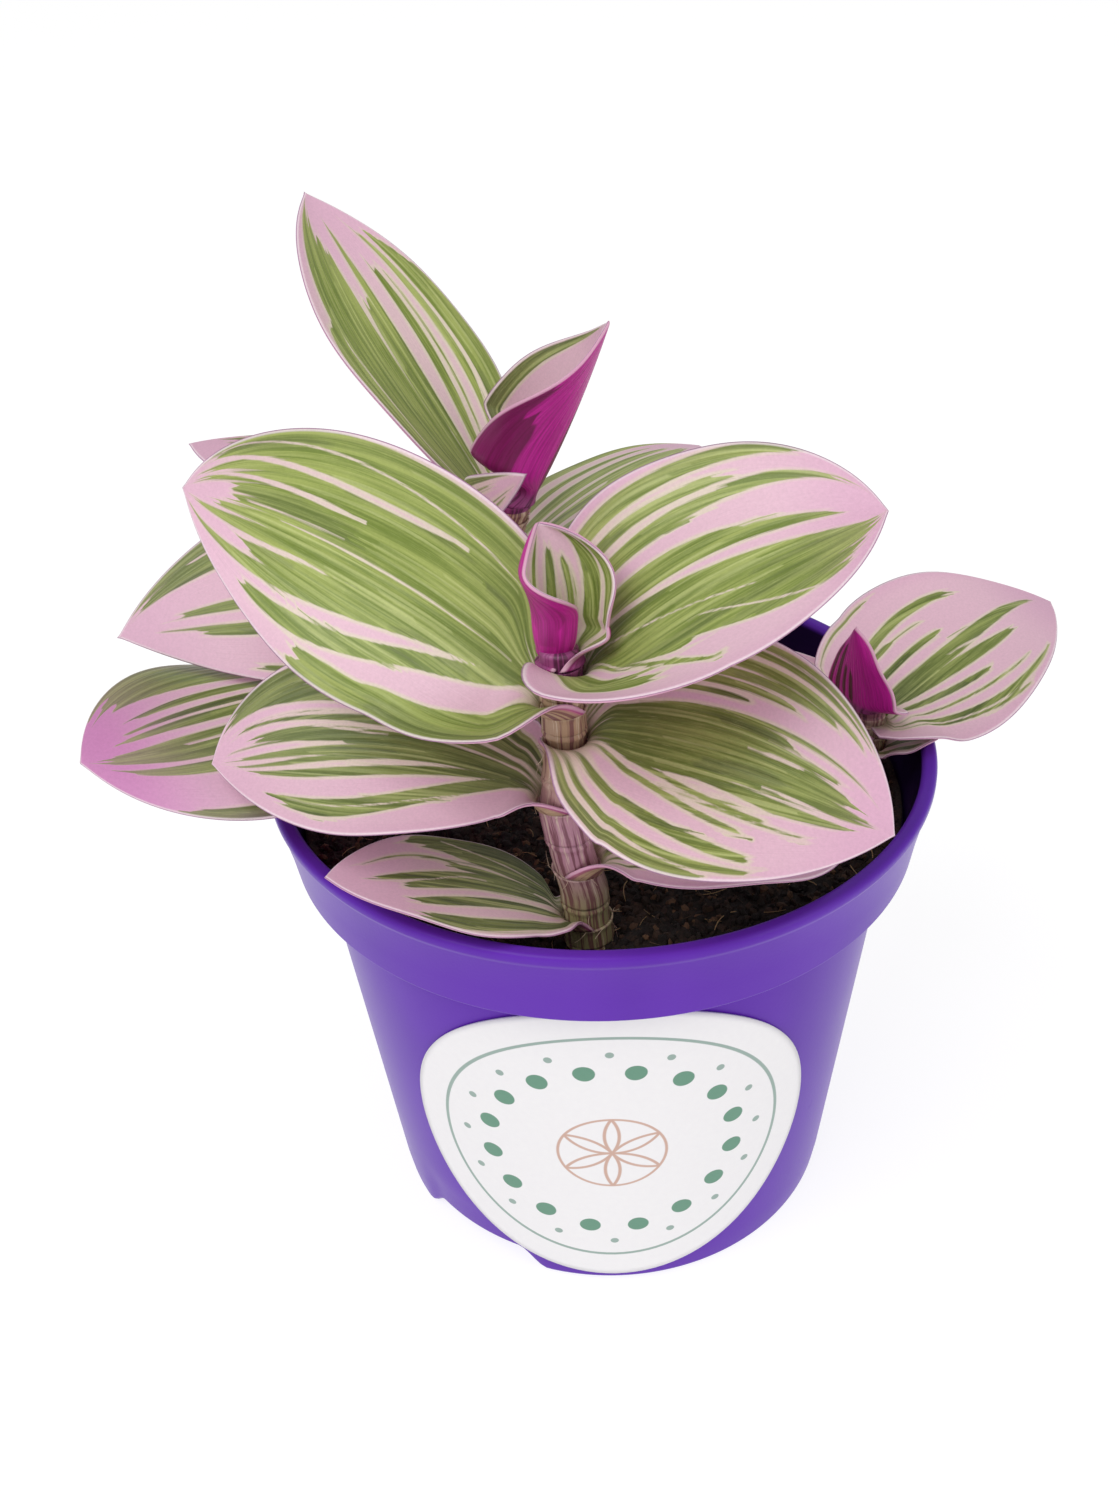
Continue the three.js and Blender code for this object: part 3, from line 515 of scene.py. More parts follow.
            (0.6, 0.78, 0.93, 0.018, 0.03, 0.48),
        ],
        pale=[
            (0.06, 0.1, 0.14, 0.012, 0.4, 0.64),
        ],
    ),
    "leaf_c4": dict(
        stem="c", up=88.7, turn=-145, pitch=82.8, bend=6.2, sweep=-0.4, roll=5.6, twist=-11.8,
        length=15.8, width=14.5, swell=0.17, taper=0.8, curl=(22, 16), tipCurl=58.4, clasp=(133, 130),
        hug=(0.18, 0.12), ease=(0.11, 0.13),
        young=True, tone=0.9, flush=0.1, cream=0.3,
        green=[
            (0.84, 0.84, 0.8, 0.05, 0.12, 0.7), (0.6, 0.6, 0.56, 0.07, 0.1, 0.72),
            (0.38, 0.38, 0.36, 0.05, 0.15, 0.5), (0.16, 0.16, 0.16, 0.06, 0.1, 0.45),
        ],
        pale=[],
    ),
}
blade = {
    "thickness": 0.5,
    "rows": 78,
    "columns": 97,
    "smallRows": 44,
    "smallColumns": 49,
    "smallLength": 25,
    "wave": 0.4,
    "waves": 1.7,
    "bendCentre": 0.3,
    "point": 0.015,
    "claspPart": 0.12,
    "claspAngle": 130,
    "claspEase": 0.1,
    "sheathPitch": 84,
    "sheathWall": 0.8,
    "sheathLength": 6,
    "sheathRoom": 3,
    "lastRow": 0.998,
    "edgeRound": 0.35,
    "bigWidth": 20,
}
# The drawn sheaths: how far they stand off their stem, their wall, their flare and its height, and how far
# their mouth is above the blade's foot
sleeve = {"standoff": 0.5, "wall": 0.35, "flare": 0.2, "flareHeight": 0.9, "mouth": 0.15, "levels": 14}


def clamp(values, low=0.0, high=1.0):
    return np.minimum(np.maximum(values, low), high)


def smooth(values, low, high):
    part = clamp((np.asarray(values, float) - low) / (high - low))
    return part * part * (3 - 2 * part)


def bothSides(value):
    return value if isinstance(value, tuple) else (value, value)


def sheathRadius(leaf):
    return plainRadius(stems[leaf["stem"]], leaf["up"]) + gap + blade["sheathWall"] / 2


def bladeAxes(leaf, t):
    clasp = clamp(1 - t / blade["claspPart"]) ** 2
    rise = leaf["pitch"] + leaf["bend"] * (t - blade["bendCentre"])
    pitch = np.radians(rise + (blade["sheathPitch"] - rise) * clasp)
    turn = np.radians(leaf["turn"] + leaf["sweep"] * t)
    roll = (np.radians(leaf["roll"] + leaf["twist"] * t) * (1 - clasp))[:, None]
    flat = np.stack([np.cos(turn), np.sin(turn), 0 * turn], -1)
    climb = np.array([0.0, 0.0, 1.0])
    forward = flat * np.cos(pitch)[:, None] + climb * np.sin(pitch)[:, None]
    upright = climb * np.cos(pitch)[:, None] - flat * np.sin(pitch)[:, None]
    across = np.cross(forward, upright)
    up = upright * np.cos(roll) + across * np.sin(roll)
    side = across * np.cos(roll) - upright * np.sin(roll)
    return forward, up, side


def midrib(leaf, t):
    steps = 200
    turn = math.radians(leaf["turn"])
    start = axisAt(stems[leaf["stem"]], leaf["up"])
    start = start + sheathRadius(leaf) * np.array([math.cos(turn), math.sin(turn), 0])
    forward = bladeAxes(leaf, (np.arange(steps) + 0.5) / steps)[0]
    walk = np.vstack([np.zeros(3), np.cumsum(forward * leaf["length"] / steps, 0)]) + start
    places = np.linspace(0, 1, steps + 1)
    return np.stack([np.interp(t, places, walk[:, axis]) for axis in range(3)], -1)


def halfWidths(leaf, t, u):
    # Half the blade's width at each place along, for the left and the right half
    widest = leaf["swell"] / (leaf["swell"] + leaf["taper"])
    outline = (t / widest) ** leaf["swell"] * ((1 - t) / (1 - widest)) ** leaf["taper"]
    outline = outline * (1 - t) / (1 - t + blade["point"])
    left, right = bothSides(leaf.get("ease", blade["claspEase"]))
    grow = np.where(u < 0, smooth(t, 0, left), smooth(t, 0, right))
    return leaf["width"] / 2 * outline * grow


def bladePoints(leaf, t, u):
    # The blade's middle surface: t runs along it from 0 to 1, and u across it from -1 to 1
    along, across = t[:, None], u[None, :]
    hug = clamp(1 - along / np.where(across < 0, *bothSides(leaf.get("hug", blade["claspPart"]))))
    claspSide = np.where(across < 0, *bothSides(leaf.get("clasp", blade["claspAngle"])))
    curl = np.where(across < 0, *bothSides(leaf["curl"]))
    tipCurl = leaf.get("tipCurl", 0.6 * curl)
    half = halfWidths(leaf, along, across) + sheathRadius(leaf) * np.radians(claspSide) * hug**1.5
    opening = curl + (tipCurl - curl) * smooth(along, *leaf.get("unroll", (blade["bendCentre"], 1)))
    arc = np.radians(opening + (claspSide - opening) * hug**2)
    arc = np.where(np.abs(arc) < 1e-3, 1e-3, arc)
    reach = np.abs(across) * arc
    ripple = np.sin(2 * np.pi * (blade["waves"] * along + leaf["phase"]))
    wave = blade["wave"] * across**2 * np.sin(np.pi * along) * ripple
    sideways = half / arc * np.sin(reach) * np.sign(across)
    lift = half / arc * (1 - np.cos(reach)) + wave
    forward, up, side = bladeAxes(leaf, t)
    level = np.where(across < 0, *bothSides(leaf.get("level", 0))) * hug
    drop = np.where(across < 0, *bothSides(leaf.get("drop", 0))) * 4 * hug * (1 - hug)
    turn = np.radians(leaf["turn"] + leaf["sweep"] * t)
    back = np.stack([-np.cos(turn), -np.sin(turn), 0 * turn], -1)
    rising = up[:, None] * (1 - level)[..., None] + back[:, None] * level[..., None]
    rising[..., 2] -= drop
    rising /= np.linalg.norm(rising, axis=-1, keepdims=True)
    return midrib(leaf, t)[:, None] + side[:, None] * sideways[..., None] + rising * lift[..., None]


# Streaks drawn at random: how many on a big leaf and on a small one, half widths, starts and lengths
looseKinds = {
    "slivers": dict(counts=(6, 2), widths=(0.005, 0.011), starts=(0.2, 0.5), lengths=(0.15, 0.4)),
    "threads": dict(counts=(22, 7), widths=(0.003, 0.008), starts=(0.0, 0.5), lengths=(0.25, 0.6)),
    "patches": dict(counts=(18, 6), widths=(0.02, 0.07), starts=(0.1, 0.75), lengths=(0.08, 0.3)),
}
noStreak = -3.0


def streakField(streaks, leaf, t, u, half, knots):
    # Millimetres into the nearest streak, below 0 outside. The ends are ragged, as knots says.
    along, across = t[:, None], u[None, :]
    ragged = np.interp(u, np.linspace(-1, 1, len(knots)), knots)[None, :]
    field = np.full((len(t), len(u)), noStreak)
    for first, middle, last, width, start, end in streaks:
        part = clamp((along - start) / (end - start))
        centre = first + (4 * middle - 3 * first - last) * part + 2 * (first + last - 2 * middle) * part**2
        narrowed = width * (0.45 + 0.55 * np.sqrt(clamp((1 - part) * 5))) * np.sqrt(clamp(part * 5 + 0.3))
        beside = (narrowed - np.abs(across - centre)) * half
        before = (along - start) * leaf["length"] + 2
        behind = (end + ragged * 0.05 - along) * leaf["length"] * 0.6
        field = np.maximum(field, np.minimum(np.minimum(beside, before), behind))
    return field


def looseStreaks(random, kind, leaf):
    onBig, onSmall = kind["counts"]
    made = []
    for _ in range(onBig if leaf["width"] > blade["bigWidth"] else onSmall):
        across = random.uniform(-0.95, 0.95)
        start = random.uniform(*kind["starts"])
        end = min(start + random.uniform(*kind["lengths"]), 0.93)
        drift = random.uniform(-0.03, 0.03)
        width = random.uniform(*kind["widths"])
        made.append((across, across + drift / 2, across + drift, width, start, end))
    return made


def leafPattern(leaf, t, u, half):
    random = np.random.default_rng(leaf["seed"])
    knots = random.uniform(-1, 1, 60)
    fineKnots = random.uniform(-1, 1, 150)
    slivers, threads, patches = [looseStreaks(random, kind, leaf) for kind in looseKinds.values()]
    green = streakField(leaf["green"], leaf, t, u, half, knots)
    near = green > -0.8
    green = np.maximum(green, np.where(near, streakField(slivers, leaf, t, u, half, knots), noStreak))
    green = np.minimum(green, -streakField(leaf["pale"], leaf, t, u, half, knots))
    dark = streakField(patches, leaf, t, u, half, fineKnots)
    light = streakField(threads, leaf, t, u, half, fineKnots)
    dark = np.where(light > -0.25, -light * 2 - 1.2, np.maximum(dark, -0.6))
    nearTip = smooth(t, 0.66, 0.95)[:, None]
    nearMargin = smooth(np.abs(u), 0.8, 1)[None, :] * 0.6
    flush = leaf["flush"] * np.maximum(nearTip, nearMargin)
    tone = np.full(green.shape, leaf["tone"])
    return np.stack([green, dark, flush, tone], -1)


def addMesh(name, points, faces, parts, finishes, layers=None):
    mesh = bpy.data.meshes.new(name)
    mesh.from_pydata((np.asarray(points) * mm).tolist(), [], faces)
    for key, values in (layers or {}).items():
        layer = mesh.attributes.new(key, "FLOAT_COLOR", "POINT")
        layer.data.foreach_set("color", np.asarray(values, np.float32).ravel())
    for finish in finishes:
        mesh.materials.append(finish)
    mesh.polygons.foreach_set("material_index", parts)
    mesh.polygons.foreach_set("use_smooth", [True] * len(faces))
    mesh.update()
    piece = bpy.data.objects.new(name, mesh)
    bpy.context.collection.objects.link(piece)
    return piece


def dress(piece, node, added=False):
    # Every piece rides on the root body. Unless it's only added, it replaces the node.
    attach(piece, "root")
    if not added:
        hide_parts(node)


def gridFaces(rows, columns):
    faces = []
    for row in range(rows - 1):
        for i in range(columns - 1):
            a = row * columns + i
            faces.append((a, a + 1, a + columns + 1, a + columns))
    return faces


def bothFaces(grid):
    # Values of the upper points and then of the lower ones, which share the margins
    size = grid.shape[-1]
    return np.vstack([grid.reshape(-1, size), grid[:, 1:-1].reshape(-1, size)])


def bladeMesh(leaf):
    small = leaf["length"] < blade["smallLength"] and "tipCurl" not in leaf
    rows = blade["smallRows"] if small else blade["rows"]
    columns = blade["smallColumns"] if small else blade["columns"]
    s = np.linspace(0, 1, rows)
    t = blade["lastRow"] * (0.6 * s + 0.4 * (0.5 - 0.5 * np.cos(np.pi * s)))
    u = np.linspace(-1, 1, columns)
    middle = bladePoints(leaf, t, u)
    normal = np.cross(np.gradient(middle, axis=1), np.gradient(middle, axis=0))
    normal = normal / np.linalg.norm(normal, axis=-1, keepdims=True)
    half = np.maximum(halfWidths(leaf, t[:, None], u[None, :]), 0.05)
    clasped = sheathRadius(leaf) * clamp(1 - t[:, None] / blade["claspPart"]) * 2
    edge = (1 - np.abs(u))[None, :] * (half + clasped)
    lift = (blade["thickness"] / 2 * np.sqrt(clamp(edge / blade["edgeRound"])))[..., None] * normal
    index = np.arange(rows * columns).reshape(rows, columns)
    under = index.copy()
    under[:, 1:-1] = rows * columns + np.arange(rows * (columns - 2)).reshape(rows, columns - 2)
    points = np.vstack([(middle + lift).reshape(-1, 3), (middle - lift)[:, 1:-1].reshape(-1, 3)])
    faces = gridFaces(rows, columns)
    upper = len(faces)
    for row in range(rows - 1):
        for i in range(columns - 1):
            ring = [under[row, i], under[row + 1, i], under[row + 1, i + 1], under[row, i + 1]]
            faces.append(tuple(int(corner) for corner in ring))
    for i in range(columns - 1):
        for row, order in ((0, 1), (rows - 1, -1)):
            ring = [index[row, i], under[row, i], under[row, i + 1], index[row, i + 1]][::order]
            faces.append(tuple(dict.fromkeys(int(corner) for corner in ring)))
    parts = [0] * upper + [1] * (len(faces) - upper)
    pattern = leafPattern(leaf, t, u, half)
    place = np.stack(np.broadcast_arrays(t[:, None], u[None, :], edge, leaf["cream"]), -1)
    return points, faces, parts, bothFaces(pattern), bothFaces(place)


tubeSides = 28
farFromRim = 9


def tubeMesh(stem, levels, outer, inner=None, top=None):
    # A column round a stem, hollow where it has an inner radius. Its layer holds the cosine and sine of the
    # turn, the height and the distance below the rim, where it has one.
    sides = tubeSides
    angles = np.linspace(0, 2 * np.pi, sides, endpoint=False)
    circle = np.stack([np.cos(angles), np.sin(angles), 0 * angles], -1)
    centres = axisAt(stem, levels)
    rings = centres[:, None] + circle[None] * np.asarray(outer)[:, None, None]
    heights = list(levels)
    if inner is not None:
        back = (centres[:, None] + circle[None] * np.asarray(inner)[:, None, None])[::-1]
        rings = np.concatenate([rings, back])
        heights = heights + heights[::-1]
    count = len(rings)
    faces = []
    for row in range(count if inner is not None else count - 1):
        for i in range(sides):
            a = row * sides + i
            b = row * sides + (i + 1) % sides
            up = ((row + 1) % count) * sides
            faces.append((a, b, up + (i + 1) % sides, up + i))
    if inner is None:
        faces.append(tuple(range(sides - 1, -1, -1)))
        faces.append(tuple(range((count - 1) * sides, count * sides)))
    turn = np.tile(angles, count)
    height = np.repeat(heights, sides)
    rim = (top - height) if top is not None else height * 0 + farFromRim
    layer = np.stack([np.cos(turn), np.sin(turn), height, rim], -1)
    return rings.reshape(-1, 3), faces, layer


# Finishes of the leaves

leafColours = {
    "fresh": "778a34",
    "freshLight": "a9b560",
    "deep": "434e2b",
    "deepLight": "707b4a",
    "vein": "c8cf8a",
    "cream": "dbcfb9",
    "pink": "deb7c7",
    "flush": "c783b4",
    "margin": "e8d6dc",
    "rim": "94548a",
    "magenta": "c9249d",
    "magentaDark": "a21d7b",
    "maroon": "53182f",
}
stemColours = {
    "olive": "9a9468",
    "tan": "a88a70",
    "pink": "a9798a",
    "maroon": "66343f",
    "pale": "cdbba6",
}
youngColours = {
    "olive": "7d7a4a",
    "tan": "8d3f74",
    "pink": "93406f",
    "maroon": "4a1a38",
    "pale": "a9568c",
}


# Millimetres from a blade's edge over which each colour of its margin fades out
margins = {"margin": (0.22, 0.5), "rim": (0.04, 0.16), "under": (0.25, 0.6)}


def leafUpper():
    finish = Finish("leaf_upper")
    shade = shades(leafColours)
    green, dark, flush, tone = finish.attribute("leafPattern")
    along, across, edge, cream = finish.attribute("leafPlace")
    veins = finish.noise(1, 3, 0.6, finish.vector(across * 55, along * 3.5, tone * 9))
    fine = finish.noise(1, 3, 0.6, finish.vector(across * 190, along * 16, tone * 5))
    broad = finish.noise(1, 2, 0.5, finish.vector(across * 14, along * 2.2, tone * 4))
    grain = finish.noise(2600, 2, 0.6)
    ragged = (veins - 0.5) * 0.4 + (fine - 0.5) * 0.3
    mask = (green + ragged).step(-0.12, 0.14)
    patches = (dark + (veins - 0.5) * 1.4).step(-0.25, 0.45)
    threads = 1 - dark.step(-1.3, -0.8)
    light = (veins * 0.6 + broad * 0.7 - 0.15).step(0.34, 0.66)
    fresh = finish.mix(light, shade["fresh"], shade["freshLight"])
    deep = finish.mix(light, shade["deep"], shade["deepLight"])
    shaded = tone + patches * 0.3 + (1 - along.step(0.0, 0.4)) * 0.25
    leafGreen = finish.mix(shaded.least(1.0), fresh, deep)
    leafGreen = finish.mix(threads * 0.45 + fine.step(0.55, 0.75) * 0.38, leafGreen, shade["vein"])
    depth = (0.0 - green).step(0.12, 0.7)
    pinkness = (depth * (1 - cream * 0.6) + along.step(0.5, 0.95) * 0.5 - cream * 0.2 + 0.15).least(1.0)
    pale = finish.mix(pinkness.most(0.0), shade["cream"], shade["pink"])
    surface = finish.mix(mask, pale, leafGreen)
    surface = finish.mix(flush * (1 - mask * 0.75), surface, shade["flush"])
    surface = finish.mix((1 - edge.step(*margins["margin"])) * 0.75, surface, shade["margin"])
    surface = finish.mix((1 - edge.step(*margins["rim"])) * 0.8, surface, shade["rim"])
    lit = finish.node("ShaderNodeHueSaturation", None, {"Color": surface, "Value": grain * 0.22 + 0.89})
    finish.set(Base_Color=lit.outputs[0], Roughness=0.42 + (fine - 0.5) * 0.16)
    ridges = (across * 88).wave() * 0.35 * mask + veins * 0.7 + fine * 0.3 + grain * 0.1
    finish.bump(ridges, 0.28, 0.0002)
    finish.set(Coat_Weight=0.04, Coat_Roughness=0.3, Specular_IOR_Level=0.36)
    return finish.material


def leafUnder(name, colours):
    finish = Finish(name)
    shade = shades(leafColours)
    green, _, _, tone = finish.attribute("leafPattern")
    along, across, edge, _ = finish.attribute("leafPlace")
    veins = finish.noise(1, 3, 0.6, finish.vector(across * 45, along * 3, tone * 7))
    fine = finish.noise(1, 2, 0.6, finish.vector(across * 150, along * 12, tone * 5))
    mask = (green + (veins - 0.5) * 0.6).step(-0.25, 0.2)
    bright = finish.mix(veins.step(0.3, 0.7), shade["magentaDark"], shade["magenta"])
    depth = (tone * 1.5 - 0.3).most(0.0)
    surface = finish.mix((mask * depth).least(1.0), bright, shade["maroon"])
    surface = finish.mix((1 - edge.step(*margins["under"])) * 0.75, surface, shade["pink"])
    lines = finish.noise(1, 3, 0.55, finish.vector(across * 9, tone * 9, along * 2)) + (fine - 0.5) * 0.25
    sheath = finish.mix(lines.step(0.5, 0.58) * 0.8, tint(colours["tan"]), tint(colours["maroon"]))
    inside = across.size().step(0.8, 1.0)
    surface = finish.mix((1 - along.step(0.03, 0.13)) * (1 - inside), surface, sheath)
    finish.set(Base_Color=surface, Roughness=0.42 + (fine - 0.5) * 0.2)
    finish.bump((across * 70).wave() * 0.5 + veins + fine * 0.4, 0.2, 0.0002)
    finish.set(Coat_Weight=0.03, Coat_Roughness=0.35, Specular_IOR_Level=0.3)
    return finish.material


def stemSkin(name, colours):
    finish = Finish(name)
    shade = shades(colours)
    cosine, sine, height, rim = finish.attribute("stemPlace")
    stripes = finish.noise(1, 3, 0.55, finish.vector(cosine * 5, sine * 5, height * 0.045))
    fine = finish.noise(1, 2, 0.6, finish.vector(cosine * 16, sine * 16, height * 0.3))
    base = finish.mix(height.step(*drawnStem["pinkHeights"]), shade["olive"], shade["pink"])
    base = finish.mix(height.step(*drawnStem["tanHeights"]), base, shade["tan"])
    dark = (stripes + (fine - 0.5) * 0.25).step(0.52, 0.6)
    surface = finish.mix(dark * 0.8, base, shade["maroon"])
    light = (stripes + (fine - 0.5) * 0.3).step(0.36, 0.44)
    surface = finish.mix((1 - light) * 0.6, surface, shade["pale"])
    surface = finish.mix((1 - rim.step(0.1, 0.5)) * 0.25, surface, shade["pale"])
    finish.set(Base_Color=surface, Roughness=0.45 + (fine - 0.5) * 0.2)
    finish.bump(stripes + fine * 0.5, 0.4, 0.0003)
    return finish.material


upperFinish = leafUpper()
underFinish = leafUnder("leaf_under", stemColours)
youngUnderFinish = leafUnder("young_under", youngColours)
stemFinish = stemSkin("stem_skin", stemColours)
youngFinish = stemSkin("young_skin", youngColours)


# Leaves and stems as pieces

def placeSheaths():
    for key, stem in stems.items():
        lowest = soilHeight + 1.5 * soilRoughness + gap
        feet = []
        for leaf in leaves.values():
            if leaf["stem"] == key:
                leaf["foot"] = max(leaf["up"] - blade["sheathLength"], lowest)
                lowest = leaf["up"] + leaf.get("room", blade["sheathRoom"])
                feet.append(leaf["foot"])
        stem["feet"] = feet


def makeLeaf(name, leaf):
    points, faces, parts, pattern, place = bladeMesh(leaf)
    stem = stems[leaf["stem"]]
    mouth = leaf["up"] + sleeve["mouth"]
    levels = np.linspace(leaf["foot"], mouth, sleeve["levels"])
    flare = smooth(levels, leaf["up"] - sleeve["flareHeight"], leaf["up"])
    outer = plainRadius(stem, levels) + sleeve["standoff"] + sleeve["flare"] * flare
    tube, tubeFaces, tubeLayer = tubeMesh(stem, levels, outer, outer - sleeve["wall"], top=mouth)
    start = len(points)
    faces = faces + [tuple(corner + start for corner in face) for face in tubeFaces]
    parts = parts + [2] * len(tubeFaces)
    layers = {
        "leafPattern": np.vstack([pattern, np.zeros((len(tube), 4))]),
        "leafPlace": np.vstack([place, np.zeros((len(tube), 4))]),
        "stemPlace": np.vstack([np.zeros((start, 4)), tubeLayer]),
    }
    finishes = [upperFinish, underFinish, stemFinish]
    if leaf.get("young"):
        finishes = [upperFinish, youngUnderFinish, youngFinish]
    if leaf.get("flipped"):
        finishes = [underFinish, upperFinish, stemFinish]
    piece = addMesh("fine_" + name, np.vstack([points, tube]), faces, parts, finishes, layers)
    dress(piece, name)


def makeStem(key, stem):
    foot, tip = stem["axis"][0][2], stem["axis"][-1][2]
    levels = np.arange(foot, tip - drawnStem["step"], drawnStem["step"])
    swell = sum(np.exp(-(((levels - (height - nodeDrop)) / nodeWidth) ** 2)) for height in stem["feet"])
    radii = plainRadius(stem, levels) + drawnStem["skin"]
    radii = radii + nodeSwell * drawnStem["swell"] * np.minimum(swell, 1)
    cap = np.array([tip - 0.3, tip - 0.1, tip])
    levels = np.concatenate([levels, cap])
    radii = np.concatenate([radii, plainRadius(stem, cap) * np.array([0.9, 0.6, 0.1])])
    points, faces, layer = tubeMesh(stem, levels, radii)
    corners = np.array([face[0] for face in faces])
    parts = (points[corners, 2] > tip - stem["youngTop"]).astype(int).tolist()
    finishes = [stemFinish, youngFinish]
    piece = addMesh("fine_stem_" + key, points, faces, parts, finishes, {"stemPlace": layer})
    dress(piece, "stem_" + key)


placeSheaths()
for number, leaf in enumerate(leaves.values()):
    leaf["phase"] = number * 0.37 % 1
    leaf["seed"] = number + 11
for name, leaf in leaves.items():
    makeLeaf(name, leaf)
for key, stem in stems.items():
    makeStem(key, stem)
print("leaves and stems made")


# Pot

pot = {
    "height": 84,
    "wall": 1.3,
    "rim": 52.5,
    "rimRound": 0.8,
    "lipWidth": 2.4,
    "lipBand": 1.6,
    "lipBandRound": 0.6,
    "edgeRound": 0.5,
    "collarTop": 52,
    "collarFoot": 50,
    "collarFootHeight": 70.1,
    "bodyTop": 46.1,
    "bodyFoot": 37.9,
    "footRound": 1.2,
    "floor": 2,
    "innerFootHeight": 13,
    "innerFootRound": 2,
    "segments": 240,
    # The next four bound the painted shade on the inner wall above the peat: the wall's slope, its reach at
    # height 0, and the heights it runs between
    "innerShadeSlope": 0.123,
    "innerShadeReach": 40.2,
    "innerShadeFrom": 71.2,
    "innerShadeTo": 83.6,
    "archTurns": (52, 232),
    "archHeight": 3.8,
    "archHalfWidth": 16.5,
    "archEase": 4,
    "archDepth": 9,
}


def bodyRadius(height):
    return pot["bodyFoot"] + (pot["bodyTop"] - pot["bodyFoot"]) * height / pot["collarFootHeight"]


def turnedMesh(profile, segments):
    # A closed solid of revolution. The profile runs from the axis to the axis, below first.
    angles = np.linspace(0, 2 * np.pi, segments, endpoint=False)
    reach, height = np.array(profile[1:-1], float).T[:, :, None]
    rings = np.stack(np.broadcast_arrays(reach * np.cos(angles), reach * np.sin(angles), height), -1)
    points = [(0, 0, profile[0][1]), (0, 0, profile[-1][1])]
    faces = []
    last = len(profile) - 3
    for i in range(segments):
        after = (i + 1) % segments
        faces.append((0, 2 + after, 2 + i))
        faces.append((1, 2 + last * segments + i, 2 + last * segments + after))
        for row in range(last):
            a = 2 + row * segments
            b = a + segments
            faces.append((a + i, a + after, b + after, b + i))
    return np.vstack([points, rings.reshape(-1, 3)]), faces


def archLift(points):
    x, y, z = points[:, 0], points[:, 1], points[:, 2]
    turn = np.degrees(np.arctan2(y, x))
    away = np.min([np.abs((turn - arch + 180) % 360 - 180) for arch in pot["archTurns"]], axis=0)
    across = 1 - smooth(away, pot["archHalfWidth"] - pot["archEase"], pot["archHalfWidth"] + pot["archEase"])
    inward = smooth(np.hypot(x, y), pot["bodyFoot"] - pot["archDepth"], pot["bodyFoot"] - pot["footRound"])
    upward = 1 - smooth(z, pot["footRound"], 4 * pot["archHeight"])
    outside = (z < pot["floor"] - 0.01) | (np.hypot(x, y) > bodyRadius(z) - pot["wall"] / 2)
    return pot["archHeight"] * across * inward * upward * outside


def arcPoints(centre, radius, start, end, steps):
    angles = np.radians(np.linspace(start, end, steps))
    return [(centre[0] + radius * math.cos(a), centre[1] + radius * math.sin(a)) for a in angles]


def makePot():
    p = pot
    lipInside = p["rim"] - p["lipWidth"]
    ledgeInside = p["collarFoot"] - p["wall"] - p["edgeRound"]
    foot = arcPoints((p["bodyFoot"] - p["footRound"], p["footRound"]), p["footRound"], -90, -4, 8)
    wall = [(bodyRadius(height), height) for height in np.arange(4, p["collarFootHeight"] - 1, 2)]
    profile = [(0, 0)]
    profile += [(radius, 0) for radius in np.linspace(6, p["bodyFoot"] - p["footRound"] - 1, 12)]
    profile += foot + wall
    profile += [
        (p["bodyTop"] - 0.05, p["collarFootHeight"] - 0.4),
        (p["bodyTop"] + 0.3, p["collarFootHeight"]),
    ]
    profile += [(p["collarFoot"] - p["edgeRound"], p["collarFootHeight"])]
    profile += arcPoints(
        (p["collarFoot"] - p["edgeRound"], p["collarFootHeight"] + p["edgeRound"]), p["edgeRound"], -80, 0, 5
    )
    lipFoot = p["height"] - p["lipBand"]
    profile += [
        (p["collarFoot"] + 0.7, p["collarFootHeight"] + 5),
        (p["collarTop"] - 0.02, lipFoot - p["lipBandRound"] - 0.3),
        (p["collarTop"] + 0.1, lipFoot - p["lipBandRound"]),
        (p["rim"] - 0.1, lipFoot - 0.1),
        (p["rim"], lipFoot + 0.2),
    ]
    profile += arcPoints((p["rim"] - p["rimRound"], p["height"] - p["rimRound"]), p["rimRound"], 0, 90, 6)
    profile += arcPoints((lipInside + p["rimRound"], p["height"] - p["rimRound"]), p["rimRound"], 90, 180, 6)
    profile += [
        (lipInside - 0.2, p["height"] - 3),
        (ledgeInside, p["collarFootHeight"] + p["wall"] + 0.4),
        (ledgeInside - 0.4, p["collarFootHeight"] + p["wall"]),
        (p["bodyTop"] - p["wall"] + 0.3, p["collarFootHeight"] - p["wall"] + 0.6),
        (p["bodyTop"] - p["wall"], p["collarFootHeight"] - p["wall"] - 0.4),
        (bodyRadius(p["innerFootHeight"]) - p["wall"], p["innerFootHeight"]),
        (p["bodyFoot"] - p["archDepth"] - p["innerFootRound"], p["floor"]),
        (0, p["floor"]),
    ]
    points, faces = turnedMesh(profile, p["segments"])
    points[:, 2] += archLift(points)
    piece = addMesh("fine_pot", points, faces, [0] * len(faces), [potPlasticAndShade()])
    dress(piece, "pot")


# inside is painted shade: the near black that the inner wall above the peat is drawn in, not a colour of the
# plastic
potColours = {"plastic": "5f2ca9", "light": "6c38ba", "deep": "4a2192", "inside": "220f3a"}


